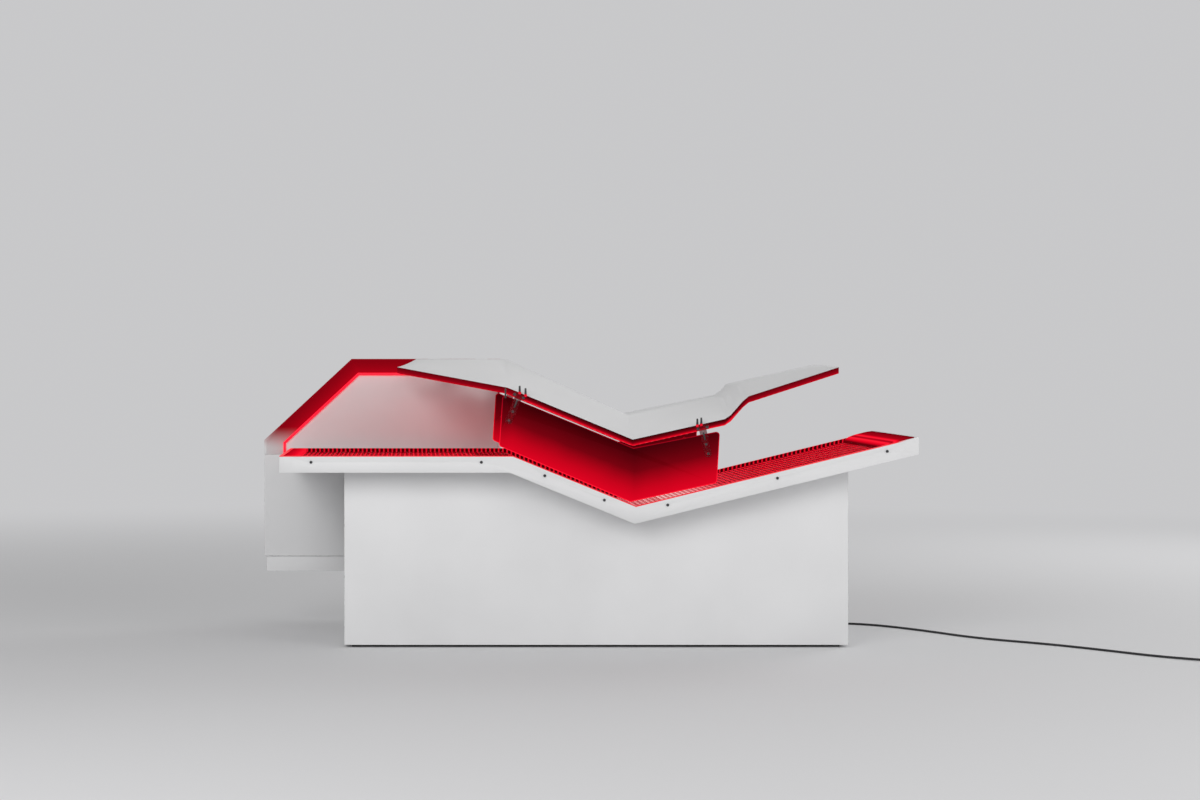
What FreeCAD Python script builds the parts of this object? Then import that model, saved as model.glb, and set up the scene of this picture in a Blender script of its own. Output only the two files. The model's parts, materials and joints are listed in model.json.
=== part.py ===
import FreeCAD, Part
import math
import os

os.makedirs("parts", exist_ok=True)

# Red light therapy bed. Millimetres, +Z up, +X towards the head end, -Y towards the viewer.
# The origin is on the floor under the middle of the base.

# Driving dimensions of the deck
deck_length = 2200.0
deck_width = 800.0
foot_run = 804.0
thigh_run = 423.0
foot_height = 674.0
seat_drop = 173.0
head_rise = 238.0
rail_height = 58.0
sheet = 3.0
rim_width = 12.0
foot_lip_width = 60.0
head_lip_width = 130.0
head_lip_rise = 6.0
cover_recess = 8.0
cover_thickness = 5.0
grid_thickness = 10.0
cell_pitch = 16.0
cell_bar = 4.2
cells_per_rib = 4
board_thickness = 2.0
sink_plate = 6.0
fin_count = 11
fin_thickness = 3.0
fit_gap = 0.5
over_cut = 1.0
screw_hole_clearance = 0.15
screw_depth = 22.0
screw_head = 10.0
screw_head_height = 2.5
screw_shank = 5.0
screw_length = 9.0

# Driving dimensions of the base
base_inset = 220.0
base_width = 542.0
panel = 18.0
panel_gap = 1.0
plinth_height = 9.0
plinth_inset = 26.0
floor_thickness = 12.0
frame_tube = 40.0
frame_wall = 3.0
frame_half_span = 200.0
frame_inset = 60.0
tie_rise = 60.0
tie_size = 24.0
panel_screw_head = 12.0
panel_screw_height = 3.0

# Driving dimensions of the tower and its lift
tower_gap = 21.0
tower_depth = 179.0
tower_overhang = 100.0
tower_bottom = 266.0
tower_proud = 2.0
shoulder_drop = 306.0
tower_slant = 329.0
tower_reach = 390.0
tower_wall = 8.0
skirt_drop = 57.0
skirt_lap = 40.0
skirt_wall = 4.0
rear_cover_thickness = 5.0
rear_room = 10.0
bezel_sheet = 4.0
bezel_depth = 40.0
bezel_side = 70.0
bezel_slant = 55.0
bezel_top = 53.0
bezel_border = 8.0
bezel_lap = 8.0
ledge_drop = 54.0
light_line = 9.0
light_line_depth = 7.0
light_line_gap = 0.3
mast_open = 350.0
mast_drop = 94.0
mast_height = 310.0
mast_width = 100.0
mast_plate = 8.0
mast_arm = 60.0
mast_arm_wall = 4.0
mast_arm_inset = 15.0
mast_tie_from_base = 40.0
mast_tie_depth = 50.0
mast_tie_height = 40.0
column_size = 120.0
column_wall = 4.0
column_play = 2.0
glide_clearance = 0.05
column_bottom = 232.0
column_length = 400.0
column_from_left = 420.0
column_from_right = 110.0
stage_step = 8.0
stage_room = 6.0
glide_height = 40.0
glide_share = 0.3
beam_size = 60.0
arm_width = 40.0
arm_height = 30.0
arm_wall = 4.0
arm_play = 3.0
outer_arm_inset = 70.0
inner_arm_inset = 250.0

# Driving dimensions of the canopy. Each station has its distance from the seat's bend, and how far
# the lip's lower edge and the ridge lie below the flat top at the foot end.
canopy_rise = 334.0
canopy_profile = [
    (-827.0, 50.0, 0.0),
    (-439.0, 122.0, 0.0),
    (-5.0, 302.0, 199.0),
    (314.0, 231.0, 135.0),
    (335.0, 217.0, 131.0),
    (357.0, 192.0, 115.0),
    (377.0, 169.0, 92.0),
    (397.0, 152.0, 87.0),
    (693.0, 56.5, 22.0),
    (710.0, 51.0, 25.0),
]
canopy_half = 330.0
ridge_half = 137.0
lip_height = 22.0
shell_thickness = 5.5
foot_end_cut = 67.0
foot_corner = 5.0
spine_inset = 22.0
spine_depth = 25.0
spine_width = 45.0
spine_reach = 513.0
liner_wall = 8.0
liner_floor = 4.0
led_panel_height = 12.0
led_panel_gap = 12.0
led_panel_edge = 8.0
led_panel_foot_gap = 25.0
shield_offset = 6.0
shield_thickness = 6.0
shield_corner = 12.0
bracket_width = 25.0
bracket_thickness = 4.0
bracket_length = 112.0
bolt_shank = 6.0
bolt_head = 10.0
bolt_head_height = 4.0
thigh_bracket_from_seat = 397.0
chest_bracket_from_seat = 233.0

# Driving dimensions of the electrics, fans, switch and cord
supply_width = 110.0
supply_depth = 230.0
supply_height = 62.0
control_width = 240.0
control_depth = 200.0
control_height = 90.0
fan_size = 170.0
fan_depth = 51.0
fan_bore = 154.0
fan_tip_gap = 4.0
fan_boss = 56.0
fan_boss_depth = 14.0
fan_arm_width = 10.0
fan_arm_depth = 6.0
fan_hub = 60.0
fan_hub_gap = 2.0
fan_hub_inset = 5.0
fan_arms = 4
fan_blades = 7
blade_chord = 26.0
blade_thickness = 2.5
blade_pitch = 38.0
weld_lap = 4.0
guard_wire = 3.0
guard_rings = (20.0, 38.0, 56.0, 74.0)
guard_spoke = 4.0
guard_reach = 88.0
shaft_diameter = 8.0
running_clearance = 0.05
rocker_tilt = 8.0
switch_flange = 3.0
switch_flange_depth = 2.0
switch_depth = 12.0
switch_pocket = 9.0
rocker_side_gap = 0.6
rocker_end_gap = 1.2
pin_radius = 1.5
pin_depth = 2.5
cord_diameter = 8.0
gland_clearance = 0.1
gland_wall = 4.0
gland_nut = 6.0
gland_nut_depth = 8.0
gland_cone = 26.0
plug_radius = 13.0
plug_relief = 24.0
plug_body = 36.0
plug_relief_radius = 8.0
plug_pin = 19.0
plug_pin_radius = 2.4
plug_blade = 17.0
plug_blade_thickness = 1.5
plug_blade_height = 6.3
plug_blade_apart = 13.6


def vec(x, y, z):
    return FreeCAD.Vector(x, y, z)


def box(x1, x2, y1, y2, z1, z2):
    return Part.makeBox(x2 - x1, y2 - y1, z2 - z1, vec(x1, y1, z1))


def prism(points, y1, y2):
    corners = [vec(x, y1, z) for x, z in points]
    wire = Part.makePolygon(corners + [corners[0]])
    return Part.Face(wire).extrude(vec(0, y2 - y1, 0))


def plan_prism(points, z1, z2):
    corners = [vec(x, y, z1) for x, y in points]
    wire = Part.makePolygon(corners + [corners[0]])
    return Part.Face(wire).extrude(vec(0, 0, z2 - z1))


def rod_y(x, z, radius, y1, y2):
    return Part.makeCylinder(radius, y2 - y1, vec(x, y1, z), vec(0, 1, 0))


def rod_x(y, z, radius, x1, x2):
    return Part.makeCylinder(radius, x2 - x1, vec(x1, y, z), vec(1, 0, 0))


def fuse(shapes):
    whole = shapes[0]
    if len(shapes) > 1:
        whole = whole.multiFuse(shapes[1:])
    return whole.removeSplitter()


def save(name, shape):
    shape.exportStep("parts/" + name + ".step")


def save_group(name, shapes):
    save(name, Part.makeCompound(shapes))


def slope_of(p, q):
    return (q[1] - p[1]) / (q[0] - p[0])


def height_on(points, x):
    for p, q in zip(points, points[1:]):
        if x <= q[0]:
            return p[1] + slope_of(p, q) * (x - p[0])
    p, q = points[-2], points[-1]
    return p[1] + slope_of(p, q) * (x - p[0])


def lower(points, depth, square_ends=False):
    """The line moved down by depth, measured square to each stretch, with mitred bends."""
    rows = []
    for p, q in zip(points, points[1:]):
        m = slope_of(p, q)
        rows.append((m, p[1] - m * p[0] - depth * math.sqrt(1 + m * m)))
    m, a = rows[0]
    x = points[0][0]
    if square_ends:
        x = x + depth * m / math.sqrt(1 + m * m)
    out = [(x, a + m * x)]
    for (m1, a1), (m2, a2) in zip(rows, rows[1:]):
        x = (a2 - a1) / (m1 - m2)
        out.append((x, a1 + m1 * x))
    m, a = rows[-1]
    x = points[-1][0]
    if square_ends:
        x = x + depth * m / math.sqrt(1 + m * m)
    out.append((x, a + m * x))
    return out


def clip(points, x1, x2):
    inside = [p for p in points if x1 < p[0] < x2]
    return [(x1, height_on(points, x1))] + inside + [(x2, height_on(points, x2))]


def raised(points, rise):
    return [(x, z + rise) for x, z in points]


def band(top, bottom, y1, y2):
    return prism(top + bottom[::-1], y1, y2)


def stretch(points, index, depth1, depth2, gap):
    """One straight stretch of the deck between two depths, mitred, held off its neighbours."""
    rows = []
    for depth in (depth1, depth2):
        line = lower(points, depth, True)
        p, q = line[index], line[index + 1]
        m = slope_of(p, q)
        rows.append([(p[0] + gap, p[1] + m * gap), (q[0] - gap, q[1] - m * gap)])
    return rows[0] + rows[1][::-1]


# Deck line: top edge of the rails from the foot end to the head end
deck_left = -deck_length / 2
deck_right = deck_length / 2
knee = (deck_left + foot_run, foot_height)
seat = (knee[0] + thigh_run, foot_height - seat_drop)
head_end = (deck_right, foot_height - seat_drop + head_rise)
deck_line = [(deck_left, foot_height), knee, seat, head_end]
half_deck = deck_width / 2
ridge_top = foot_height + canopy_rise

# Deck tray with rails and a narrow rim
underside = lower(deck_line, rail_height)
tray = band(deck_line, underside, -half_deck, half_deck)
cavity_top = clip(lower(deck_line, sheet), deck_left + sheet, deck_right - sheet)
cavity_floor = clip(lower(deck_line, rail_height - sheet), deck_left + sheet, deck_right - sheet)
tray = tray.cut(band(cavity_top, cavity_floor, -half_deck + sheet, half_deck - sheet))
mouth_top = clip(raised(deck_line, over_cut), deck_left + rim_width, deck_right - rim_width)
mouth_low = clip(lower(deck_line, sheet + over_cut), deck_left + rim_width, deck_right - rim_width)
tray = tray.cut(band(mouth_top, mouth_low, -half_deck + rim_width, half_deck - rim_width))

# Rail screws, front and rear
screw_line = lower(deck_line, screw_depth)
screw_from_bend = 109.0
screw_stations = [
    deck_left + screw_from_bend,
    knee[0] - screw_from_bend,
    knee[0] + screw_from_bend,
    seat[0] - screw_from_bend,
    seat[0] + screw_from_bend,
    (seat[0] + deck_right) / 2,
    deck_right - screw_from_bend,
]
screws = []
for x in screw_stations:
    z = height_on(screw_line, x)
    for side in (-1, 1):
        face = side * half_deck
        spot = vec(x, face, z)
        inward = vec(0, -side, 0)
        head = Part.makeCylinder(screw_head / 2, screw_head_height, spot, -inward)
        shank = Part.makeCylinder(screw_shank / 2, screw_length, spot, inward)
        screws.append(fuse([head, shank]))
        hole_radius = screw_shank / 2 + screw_hole_clearance
        tray = tray.cut(Part.makeCylinder(hole_radius, screw_length + over_cut, spot, inward))
save("deck_tray", tray)
save_group("rail_screws", screws)

# End lips inside the tray
inner_half = half_deck - rim_width - fit_gap
floor_depth = rail_height - sheet
lip_wall = 4.0
lip_x1 = deck_left + rim_width + fit_gap
lip_x2 = deck_left + foot_lip_width
foot_lip = box(lip_x1, lip_x2, -inner_half, inner_half, foot_height - floor_depth, foot_height)
foot_lip = foot_lip.cut(
    box(
        lip_x1 + lip_wall,
        lip_x2 - lip_wall,
        -inner_half + lip_wall,
        inner_half - lip_wall,
        foot_height - floor_depth - over_cut,
        foot_height - lip_wall,
    )
)
save("foot_lip", foot_lip)

back_slope = math.atan(slope_of(seat, head_end))
along = (math.cos(back_slope), math.sin(back_slope))
across = (-math.sin(back_slope), math.cos(back_slope))


def on_back(s, h):
    """A point s back from the head end along the back slope and h above it."""
    return (head_end[0] - s * along[0] + h * across[0], head_end[1] - s * along[1] + h * across[1])


# The roll's profile is drawn past the head end and trimmed square to it
past_end = -20.0
crown_start = 0.28 * head_lip_width
crown_end = 0.62 * head_lip_width
crown_inside = head_lip_rise - lip_wall - over_cut
lip_profile = [
    (past_end, -floor_depth),
    (past_end, 0.25 * head_lip_rise),
    (0.16 * head_lip_width, 0.7 * head_lip_rise),
    (crown_start, head_lip_rise),
    (crown_end, head_lip_rise),
    (0.82 * head_lip_width, 0.5 * head_lip_rise),
    (head_lip_width, -cover_recess),
    (head_lip_width, -floor_depth),
]
hollow_profile = [
    (past_end, -floor_depth - over_cut),
    (past_end, 0.0),
    (crown_start, crown_inside),
    (crown_end, crown_inside),
    (head_lip_width - lip_wall, -cover_recess - lip_wall),
    (head_lip_width - lip_wall, -floor_depth - over_cut),
]
head_limit = deck_right - rim_width - fit_gap
head_lip = prism([on_back(s, h) for s, h in lip_profile], -inner_half, inner_half)
head_lip = head_lip.common(box(0, head_limit, -half_deck, half_deck, 0, ridge_top))
hollow = prism([on_back(s, h) for s, h in hollow_profile], -inner_half + lip_wall, inner_half - lip_wall)
hollow = hollow.common(box(0, head_limit - lip_wall, -half_deck, half_deck, 0, ridge_top))
head_lip = head_lip.cut(hollow)
save("head_lip", head_lip)

# LED field: cover sheet, cell grids, boards and finned heat sinks, stacked on the tray floor
field_gap = 2.0
field_line = [
    (lip_x2 + field_gap, foot_height),
    knee,
    seat,
    on_back(head_lip_width + field_gap, 0.0),
]
grid_depth = cover_recess + cover_thickness
board_depth = grid_depth + grid_thickness
sink_depth = board_depth + board_thickness
fin_depth = sink_depth + sink_plate
field_half = inner_half - fit_gap
cover_top = lower(field_line, cover_recess, True)
cover_low = lower(field_line, grid_depth, True)
save("deck_cover", band(cover_top, cover_low, -field_half, field_half))
board_inset = 6.0
grid_gap = 1.0
board_gap = 2.0
fin_gap = 4.0
board_half = field_half - board_inset


def even_steps(start, end, pitch):
    """Stations from start to end, as near to the pitch as an even division comes."""
    count = max(1, round((end - start) / pitch))
    return [start + n * (end - start) / count for n in range(count + 1)]


def ribbed_grid(outline):
    """A slab on the deck's slope with square pockets right through it, and ribs between them."""
    slope = math.atan(slope_of(outline[0], outline[1]))
    cos, sin = math.cos(slope), math.sin(slope)
    runs = sorted(x * cos + z * sin for x, z in outline)
    heights = [z * cos - x * sin for x, z in outline]
    top = max(heights)
    low = min(heights)
    slab = prism(outline, -field_half, field_half)
    rib_pitch = cells_per_rib * cell_pitch
    half_bar = cell_bar / 2
    stations = even_steps(runs[1] + half_bar, runs[-2] - half_bar, rib_pitch)
    rows = even_steps(-field_half + half_bar, field_half - half_bar, rib_pitch)
    pockets = []
    for s1, s2 in zip(stations, stations[1:]):
        corners = []
        for s, h in (
            (s1 + half_bar, top + over_cut),
            (s2 - half_bar, top + over_cut),
            (s2 - half_bar, low - over_cut),
            (s1 + half_bar, low - over_cut),
        ):
            corners.append((s * cos - h * sin, s * sin + h * cos))
        for y1, y2 in zip(rows, rows[1:]):
            pockets.append(prism(corners, y1 + half_bar, y2 - half_bar))
    return slab.cut(Part.makeCompound(pockets))


sinks = []
for index, section in enumerate(("foot", "thigh", "back")):
    grid = ribbed_grid(stretch(field_line, index, grid_depth, board_depth, grid_gap))
    save("deck_grid_" + section, grid)
    board = prism(stretch(field_line, index, board_depth, sink_depth, board_gap), -board_half, board_half)
    save("deck_led_board_" + section, board)
    plate = prism(stretch(field_line, index, sink_depth, fin_depth, board_gap), -board_half, board_half)
    fins = [plate]
    pitch = (2 * board_half - fin_thickness) / (fin_count - 1)
    for n in range(fin_count):
        y = -board_half + n * pitch
        fin = prism(stretch(field_line, index, fin_depth, floor_depth, fin_gap), y, y + fin_thickness)
        fins.append(fin)
    sinks.append(fuse(fins))
save_group("deck_heat_sinks", sinks)

# Base cabinet panels, whose tops follow the deck's underside
half_base = deck_right - base_inset
half_base_w = base_width / 2
panel_line = lower(deck_line, rail_height + panel_gap)


def panel_outline(x1, x2):
    return [(x1, plinth_height), (x2, plinth_height)] + clip(panel_line, x1, x2)[::-1]


save("base_front_panel", prism(panel_outline(-half_base, half_base), -half_base_w, -half_base_w + panel))
inner_w = half_base_w - panel
inner_l = half_base - panel
save("base_left_panel", prism(panel_outline(-half_base, -inner_l), -inner_w, inner_w))
save("base_right_panel", prism(panel_outline(inner_l, half_base), -inner_w, inner_w))

plinth = box(
    -half_base + plinth_inset,
    half_base - plinth_inset,
    -half_base_w + plinth_inset,
    half_base_w - plinth_inset,
    0,
    plinth_height,
)
save("base_plinth", plinth)
floor_top = plinth_height + floor_thickness
save("base_floor", box(-inner_l, inner_l, -inner_w, inner_w, plinth_height, floor_top))

# Base frame: two hollow rails under the tray, on hollow posts
rail_low = rail_height + frame_tube
frame_reach = half_base - frame_inset
frame_parts = []
post_stations = [-frame_reach + frame_tube, knee[0], seat[0], frame_reach - frame_tube]
half_tube = frame_tube / 2


def frame_band(depth1, depth2, trim, y1, y2):
    top = clip(lower(deck_line, depth1), -frame_reach + trim, frame_reach - trim)
    low = clip(lower(deck_line, depth2), -frame_reach + trim, frame_reach - trim)
    return band(top, low, y1, y2)


for side in (-1, 1):
    y = side * frame_half_span
    rail = frame_band(rail_height, rail_low, 0.0, y - half_tube, y + half_tube)
    core = frame_band(
        rail_height + frame_wall,
        rail_low - frame_wall,
        frame_wall,
        y - half_tube + frame_wall,
        y + half_tube - frame_wall,
    )
    frame_parts.append(rail.cut(core))
    for x in post_stations:
        top = clip(lower(deck_line, rail_low), x - half_tube, x + half_tube)
        outline = [(x - half_tube, floor_top), (x + half_tube, floor_top)] + top[::-1]
        post = prism(outline, y - half_tube, y + half_tube)
        reach = half_tube - frame_wall
        core = box(x - reach, x + reach, y - reach, y + reach, floor_top + frame_wall, foot_height)
        room = [(x - half_tube, 0), (x + half_tube, 0)] + raised(top[::-1], -frame_wall)
        frame_parts.append(post.cut(core.common(prism(room, -half_deck, half_deck))))
for x in post_stations:
    tie_z = floor_top + tie_rise
    reach = frame_half_span - half_tube
    half = tie_size / 2
    frame_parts.append(box(x - half, x + half, -reach, reach, tie_z, tie_z + tie_size))
save("base_frame", fuse(frame_parts))

# Electrics on the base floor
flange_reach = 11.0
flange_thickness = 3.0
cap_inset = 15.0
case_top = floor_top + supply_height
supplies = []
supply_stations = [-half_base + 240.0, -half_base + 400.0, -90.0, half_base - 550.0]
for x in supply_stations:
    half = supply_width / 2
    half_depth = supply_depth / 2
    case = box(x - half, x + half, -half_depth, half_depth, floor_top, case_top)
    flange = box(
        x - half - flange_reach,
        x + half + flange_reach,
        -half_depth + cap_inset,
        half_depth - cap_inset,
        floor_top,
        floor_top + flange_thickness,
    )
    cap = box(
        x - half + cap_inset,
        x + half - cap_inset,
        -half_depth + cap_inset,
        half_depth - cap_inset,
        case_top,
        case_top + flange_thickness,
    )
    supplies.append(fuse([case, flange, cap]))
save_group("led_power_supplies", supplies)
control_x = half_base - 240.0
control_y = -40.0
control_lid = 6.0
lid_lap = 4.0
half = control_width / 2
half_depth = control_depth / 2
control_top = floor_top + control_height
control = fuse(
    [
        box(
            control_x - half,
            control_x + half,
            control_y - half_depth,
            control_y + half_depth,
            floor_top,
            control_top,
        ),
        box(
            control_x - half - lid_lap,
            control_x + half + lid_lap,
            control_y - half_depth - lid_lap,
            control_y + half_depth + lid_lap,
            control_top,
            control_top + control_lid,
        ),
    ]
)
save("control_box", control)

# Rear panel with openings for two fans, switch, gland and air intake
fan_z = 250.0
fan_stations = [half_base - 620.0, half_base - 340.0]
switch_x = half_base - 190.0
gland_x = half_base - 100.0
service_z = 90.0
louvre_x = half_base - 920.0
louvre_length = 140.0
louvre_height = 9.0
louvre_pitch = 22.0
louvre_count = 9
rear_panel = prism(panel_outline(-half_base, half_base), inner_w, half_base_w)
switch_w = 15.0
switch_h = 11.0
gland_bore = cord_diameter / 2 + gland_clearance
gland_body = gland_bore + gland_wall
cut_y1 = inner_w - over_cut
cut_y2 = half_base_w + over_cut
for x in fan_stations:
    rear_panel = rear_panel.cut(rod_y(x, fan_z, fan_bore / 2, cut_y1, cut_y2))
rear_panel = rear_panel.cut(
    box(
        switch_x - switch_w - fit_gap,
        switch_x + switch_w + fit_gap,
        cut_y1,
        cut_y2,
        service_z - switch_h - fit_gap,
        service_z + switch_h + fit_gap,
    )
)
rear_panel = rear_panel.cut(rod_y(gland_x, service_z, gland_body + screw_hole_clearance, cut_y1, cut_y2))
for n in range(louvre_count):
    z = fan_z + (n - (louvre_count - 1) / 2) * louvre_pitch - louvre_height / 2
    slot = box(louvre_x, louvre_x + louvre_length, cut_y1, cut_y2, z, z + louvre_height)
    rear_panel = rear_panel.cut(slot)
save("base_rear_panel", rear_panel)

# Panel screws at the lower corners of the cabinet ends
panel_screws = []
screw_y = 0.7 * inner_w
screw_heights = (60.0, 240.0, 420.0)
for side in (-1, 1):
    for y in (-screw_y, screw_y):
        for z in screw_heights:
            spot = vec(side * half_base, y, z)
            panel_screws.append(
                Part.makeCylinder(panel_screw_head / 2, panel_screw_height, spot, vec(side, 0, 0))
            )
save_group("panel_screws", panel_screws)

# Fans behind the rear panel
housings = []
guards = []
fan_back = inner_w - fan_depth
boss_end = fan_back + fan_boss_depth
hub_start = boss_end + fan_hub_gap
hub_end = inner_w - fan_hub_inset
boss_radius = fan_boss / 2
hub_radius = fan_hub / 2
bore_radius = fan_bore / 2
shaft_radius = shaft_diameter / 2
blade_end = bore_radius - fan_tip_gap - 3.0
shaft_wall = 2.0
shaft_start = fan_back + shaft_wall + over_cut
guard_front = half_base_w + guard_wire
half_wire = guard_wire / 2
first_arm = 45.0
arm_turn = 360.0 / fan_arms
for name, x in zip(("left", "right"), fan_stations):
    half = fan_size / 2
    hub_axis = vec(x, 0, fan_z)
    frame = box(x - half, x + half, fan_back, inner_w, fan_z - half, fan_z + half)
    frame = frame.cut(rod_y(x, fan_z, bore_radius, fan_back - over_cut, inner_w + over_cut))
    parts = [frame, rod_y(x, fan_z, boss_radius, fan_back, boss_end)]
    half = fan_arm_width / 2
    for n in range(fan_arms):
        arm = box(
            x + boss_radius - weld_lap,
            x + bore_radius + weld_lap / 2,
            fan_back,
            fan_back + fan_arm_depth,
            fan_z - half,
            fan_z + half,
        )
        arm.rotate(hub_axis, vec(0, 1, 0), first_arm + n * arm_turn)
        parts.append(arm)
    housing = fuse(parts)
    bore = shaft_radius + running_clearance
    housing = housing.cut(rod_y(x, fan_z, bore, fan_back + shaft_wall, boss_end + over_cut))
    housings.append(housing)
    rotor = [
        rod_y(x, fan_z, hub_radius, hub_start, hub_end),
        rod_y(x, fan_z, shaft_radius, shaft_start, hub_start + over_cut),
    ]
    for n in range(fan_blades):
        blade = box(
            hub_radius - weld_lap,
            blade_end,
            -blade_chord / 2,
            blade_chord / 2,
            -blade_thickness / 2,
            blade_thickness / 2,
        )
        blade.rotate(vec(0, 0, 0), vec(1, 0, 0), blade_pitch)
        blade.rotate(vec(0, 0, 0), vec(0, 1, 0), n * 360.0 / fan_blades)
        blade.translate(vec(x, (hub_start + hub_end) / 2, fan_z))
        rotor.append(blade)
    save("fan_rotor_" + name, fuse(rotor))
    wires = []
    for radius in guard_rings:
        ring = rod_y(x, fan_z, radius + half_wire, half_base_w, guard_front)
        core = rod_y(x, fan_z, radius - half_wire, half_base_w - over_cut, guard_front + over_cut)
        wires.append(ring.cut(core))
    half = guard_spoke / 2
    for n in range(fan_arms):
        spoke = box(
            x + guard_rings[0] - over_cut,
            x + guard_reach,
            half_base_w,
            guard_front,
            fan_z - half,
            fan_z + half,
        )
        spoke.rotate(hub_axis, vec(0, 1, 0), first_arm + n * arm_turn)
        wires.append(spoke)
    guards.append(fuse(wires))
save_group("fan_housings", housings)
save_group("fan_guards", guards)

# Mains switch: body in the rear panel, rocker on a pin along X
flange_y = half_base_w + switch_flange_depth
switch = fuse(
    [
        box(
            switch_x - switch_w,
            switch_x + switch_w,
            inner_w - switch_depth,
            half_base_w,
            service_z - switch_h,
            service_z + switch_h,
        ),
        box(
            switch_x - switch_w - switch_flange,
            switch_x + switch_w + switch_flange,
            half_base_w,
            flange_y,
            service_z - switch_h - switch_flange,
            service_z + switch_h + switch_flange,
        ),
    ]
)
rocker_half_w = switch_w - 4.0
rocker_half_h = switch_h - 3.0
switch = switch.cut(
    box(
        switch_x - rocker_half_w - rocker_side_gap,
        switch_x + rocker_half_w + rocker_side_gap,
        flange_y - switch_pocket,
        flange_y + over_cut,
        service_z - rocker_half_h - rocker_end_gap,
        service_z + rocker_half_h + rocker_end_gap,
    )
)
pin_y = flange_y - pin_depth
pin_reach = rocker_half_w + 2.2
pin_room = pin_reach + 0.3
pin_bore = pin_radius + running_clearance
switch = switch.cut(rod_x(pin_y, service_z, pin_bore, switch_x - pin_room, switch_x + pin_room))
save("mains_switch_body", switch)
# The rocker's outline from its lower end to its upper one: height, and how far it stands out
rocker_points = [
    (-rocker_half_h, 2.0),
    (-rocker_half_h, -3.5),
    (-3.0, -5.0),
    (3.0, -5.0),
    (rocker_half_h, -3.5),
    (rocker_half_h, 2.0),
    (0.0, 1.0),
]
corners = [vec(switch_x - rocker_half_w, pin_y + 2.0 + out, service_z + up) for up, out in rocker_points]
rocker = Part.Face(Part.makePolygon(corners + [corners[0]])).extrude(vec(2 * rocker_half_w, 0, 0))
rocker = fuse([rocker, rod_x(pin_y, service_z, pin_radius, switch_x - pin_reach, switch_x + pin_reach)])
rocker.rotate(vec(switch_x, pin_y, service_z), vec(1, 0, 0), -rocker_tilt)
save("mains_rocker", rocker)

# Cable gland in the rear panel
gland_end = half_base_w + gland_nut_depth + gland_cone
nut_y = half_base_w + gland_nut_depth
locknut_y = inner_w - gland_nut_depth + over_cut
gland = fuse(
    [
        rod_y(gland_x, service_z, gland_body, inner_w - gland_nut_depth, half_base_w + over_cut),
        rod_y(gland_x, service_z, gland_body + gland_nut, half_base_w, nut_y),
        Part.makeCone(
            gland_body + gland_nut / 2,
            gland_bore + gland_wall / 2,
            gland_cone,
            vec(gland_x, nut_y, service_z),
            vec(0, 1, 0),
        ),
        rod_y(gland_x, service_z, gland_body + gland_nut - over_cut, locknut_y, inner_w),
    ]
)
gland = gland.cut(rod_y(gland_x, service_z, gland_bore, fan_back, gland_end + over_cut))
save("cable_gland", gland)

# Tower outline, seen from the front
tower_front = half_deck + tower_gap + bezel_sheet
tower_back = tower_front + tower_depth - bezel_sheet
tower_left = deck_left - tower_overhang
canopy_stations = [
    (seat[0] + run, ridge_top - lip, ridge_top - ridge) for run, lip, ridge in canopy_profile
]
canopy_foot = canopy_stations[0][0]
tower_right = canopy_foot + tower_reach
tower_top = ridge_top + tower_proud
tower_shoulder = tower_top - shoulder_drop
ledge_height = tower_shoulder - ledge_drop


def inset_outline(d, bottom, side=None, slant=None, top=None):
    """Tower outline moved inwards by d, or by its own amount on the left, slant and top edges."""
    side = d if side is None else side
    slant = d if slant is None else slant
    top = d if top is None else top
    slope = shoulder_drop / tower_slant
    shift = slant * math.sqrt(1 + slope * slope)
    x1 = tower_left + side
    z3 = tower_top - top
    start = tower_shoulder - shift - slope * tower_left
    z2 = start + slope * x1
    x3 = (z3 - start) / slope
    return [(x1, bottom), (x1, z2), (x3, z3), (tower_right - d, z3), (tower_right - d, bottom)]


def ring_y(outer, inner, y1, y2):
    return prism(outer, y1, y2).cut(prism(inner, y1 - over_cut, y2 + over_cut))


arm_top = tower_top - tower_wall - arm_play
arm_low = arm_top - arm_height
arm_stations = [tower_right - inner_arm_inset, tower_right - outer_arm_inset]


def arm_notch(x, y1, y2):
    half = arm_width / 2 + arm_play
    return box(x - half, x + half, y1, y2, arm_low - arm_play, tower_top + over_cut)


shell = prism(inset_outline(0.0, tower_bottom), tower_front, tower_back)
wall_y1 = tower_front - over_cut
wall_y2 = tower_front + tower_wall
inside = inset_outline(tower_wall, tower_bottom - over_cut)
shell = shell.cut(prism(inside, wall_y2, tower_back + over_cut))
shell = shell.cut(prism(inset_outline(tower_wall, ledge_height), wall_y1, wall_y2 + over_cut))
open_box = box(
    tower_left + mast_open,
    tower_right - tower_wall,
    wall_y1,
    wall_y2 + over_cut,
    tower_bottom - over_cut,
    ledge_height - tower_wall,
)
shell = shell.cut(open_box)
panel_front = tower_front + bezel_depth
ledge = box(
    tower_left + tower_wall,
    tower_right - tower_wall,
    tower_front,
    panel_front,
    ledge_height - tower_wall,
    ledge_height,
)
shell = fuse([shell, ledge])
save("tower_shell", shell)

# Sloping red-lit frame of the tower, in front of the shell's edge
bezel_front = tower_front - bezel_sheet
outer_line = inset_outline(0.0, ledge_height)[:4]
border_line = inset_outline(bezel_border, ledge_height)[:4]
inner_line = inset_outline(bezel_border, ledge_height, bezel_side, bezel_slant, bezel_top)[:4]
outer_line[3] = (tower_right, outer_line[3][1])
border_line[3] = (tower_right, border_line[3][1])
inner_line[3] = (tower_right - tower_wall, inner_line[3][1])
border_back = list(border_line)
border_back[3] = (tower_right - tower_wall, border_line[3][1])
inner_y = bezel_front + bezel_depth


def sheet_piece(points):
    wire = Part.makePolygon(points + [points[0]])
    return Part.Face(wire).extrude(vec(0, bezel_sheet, 0))


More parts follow.
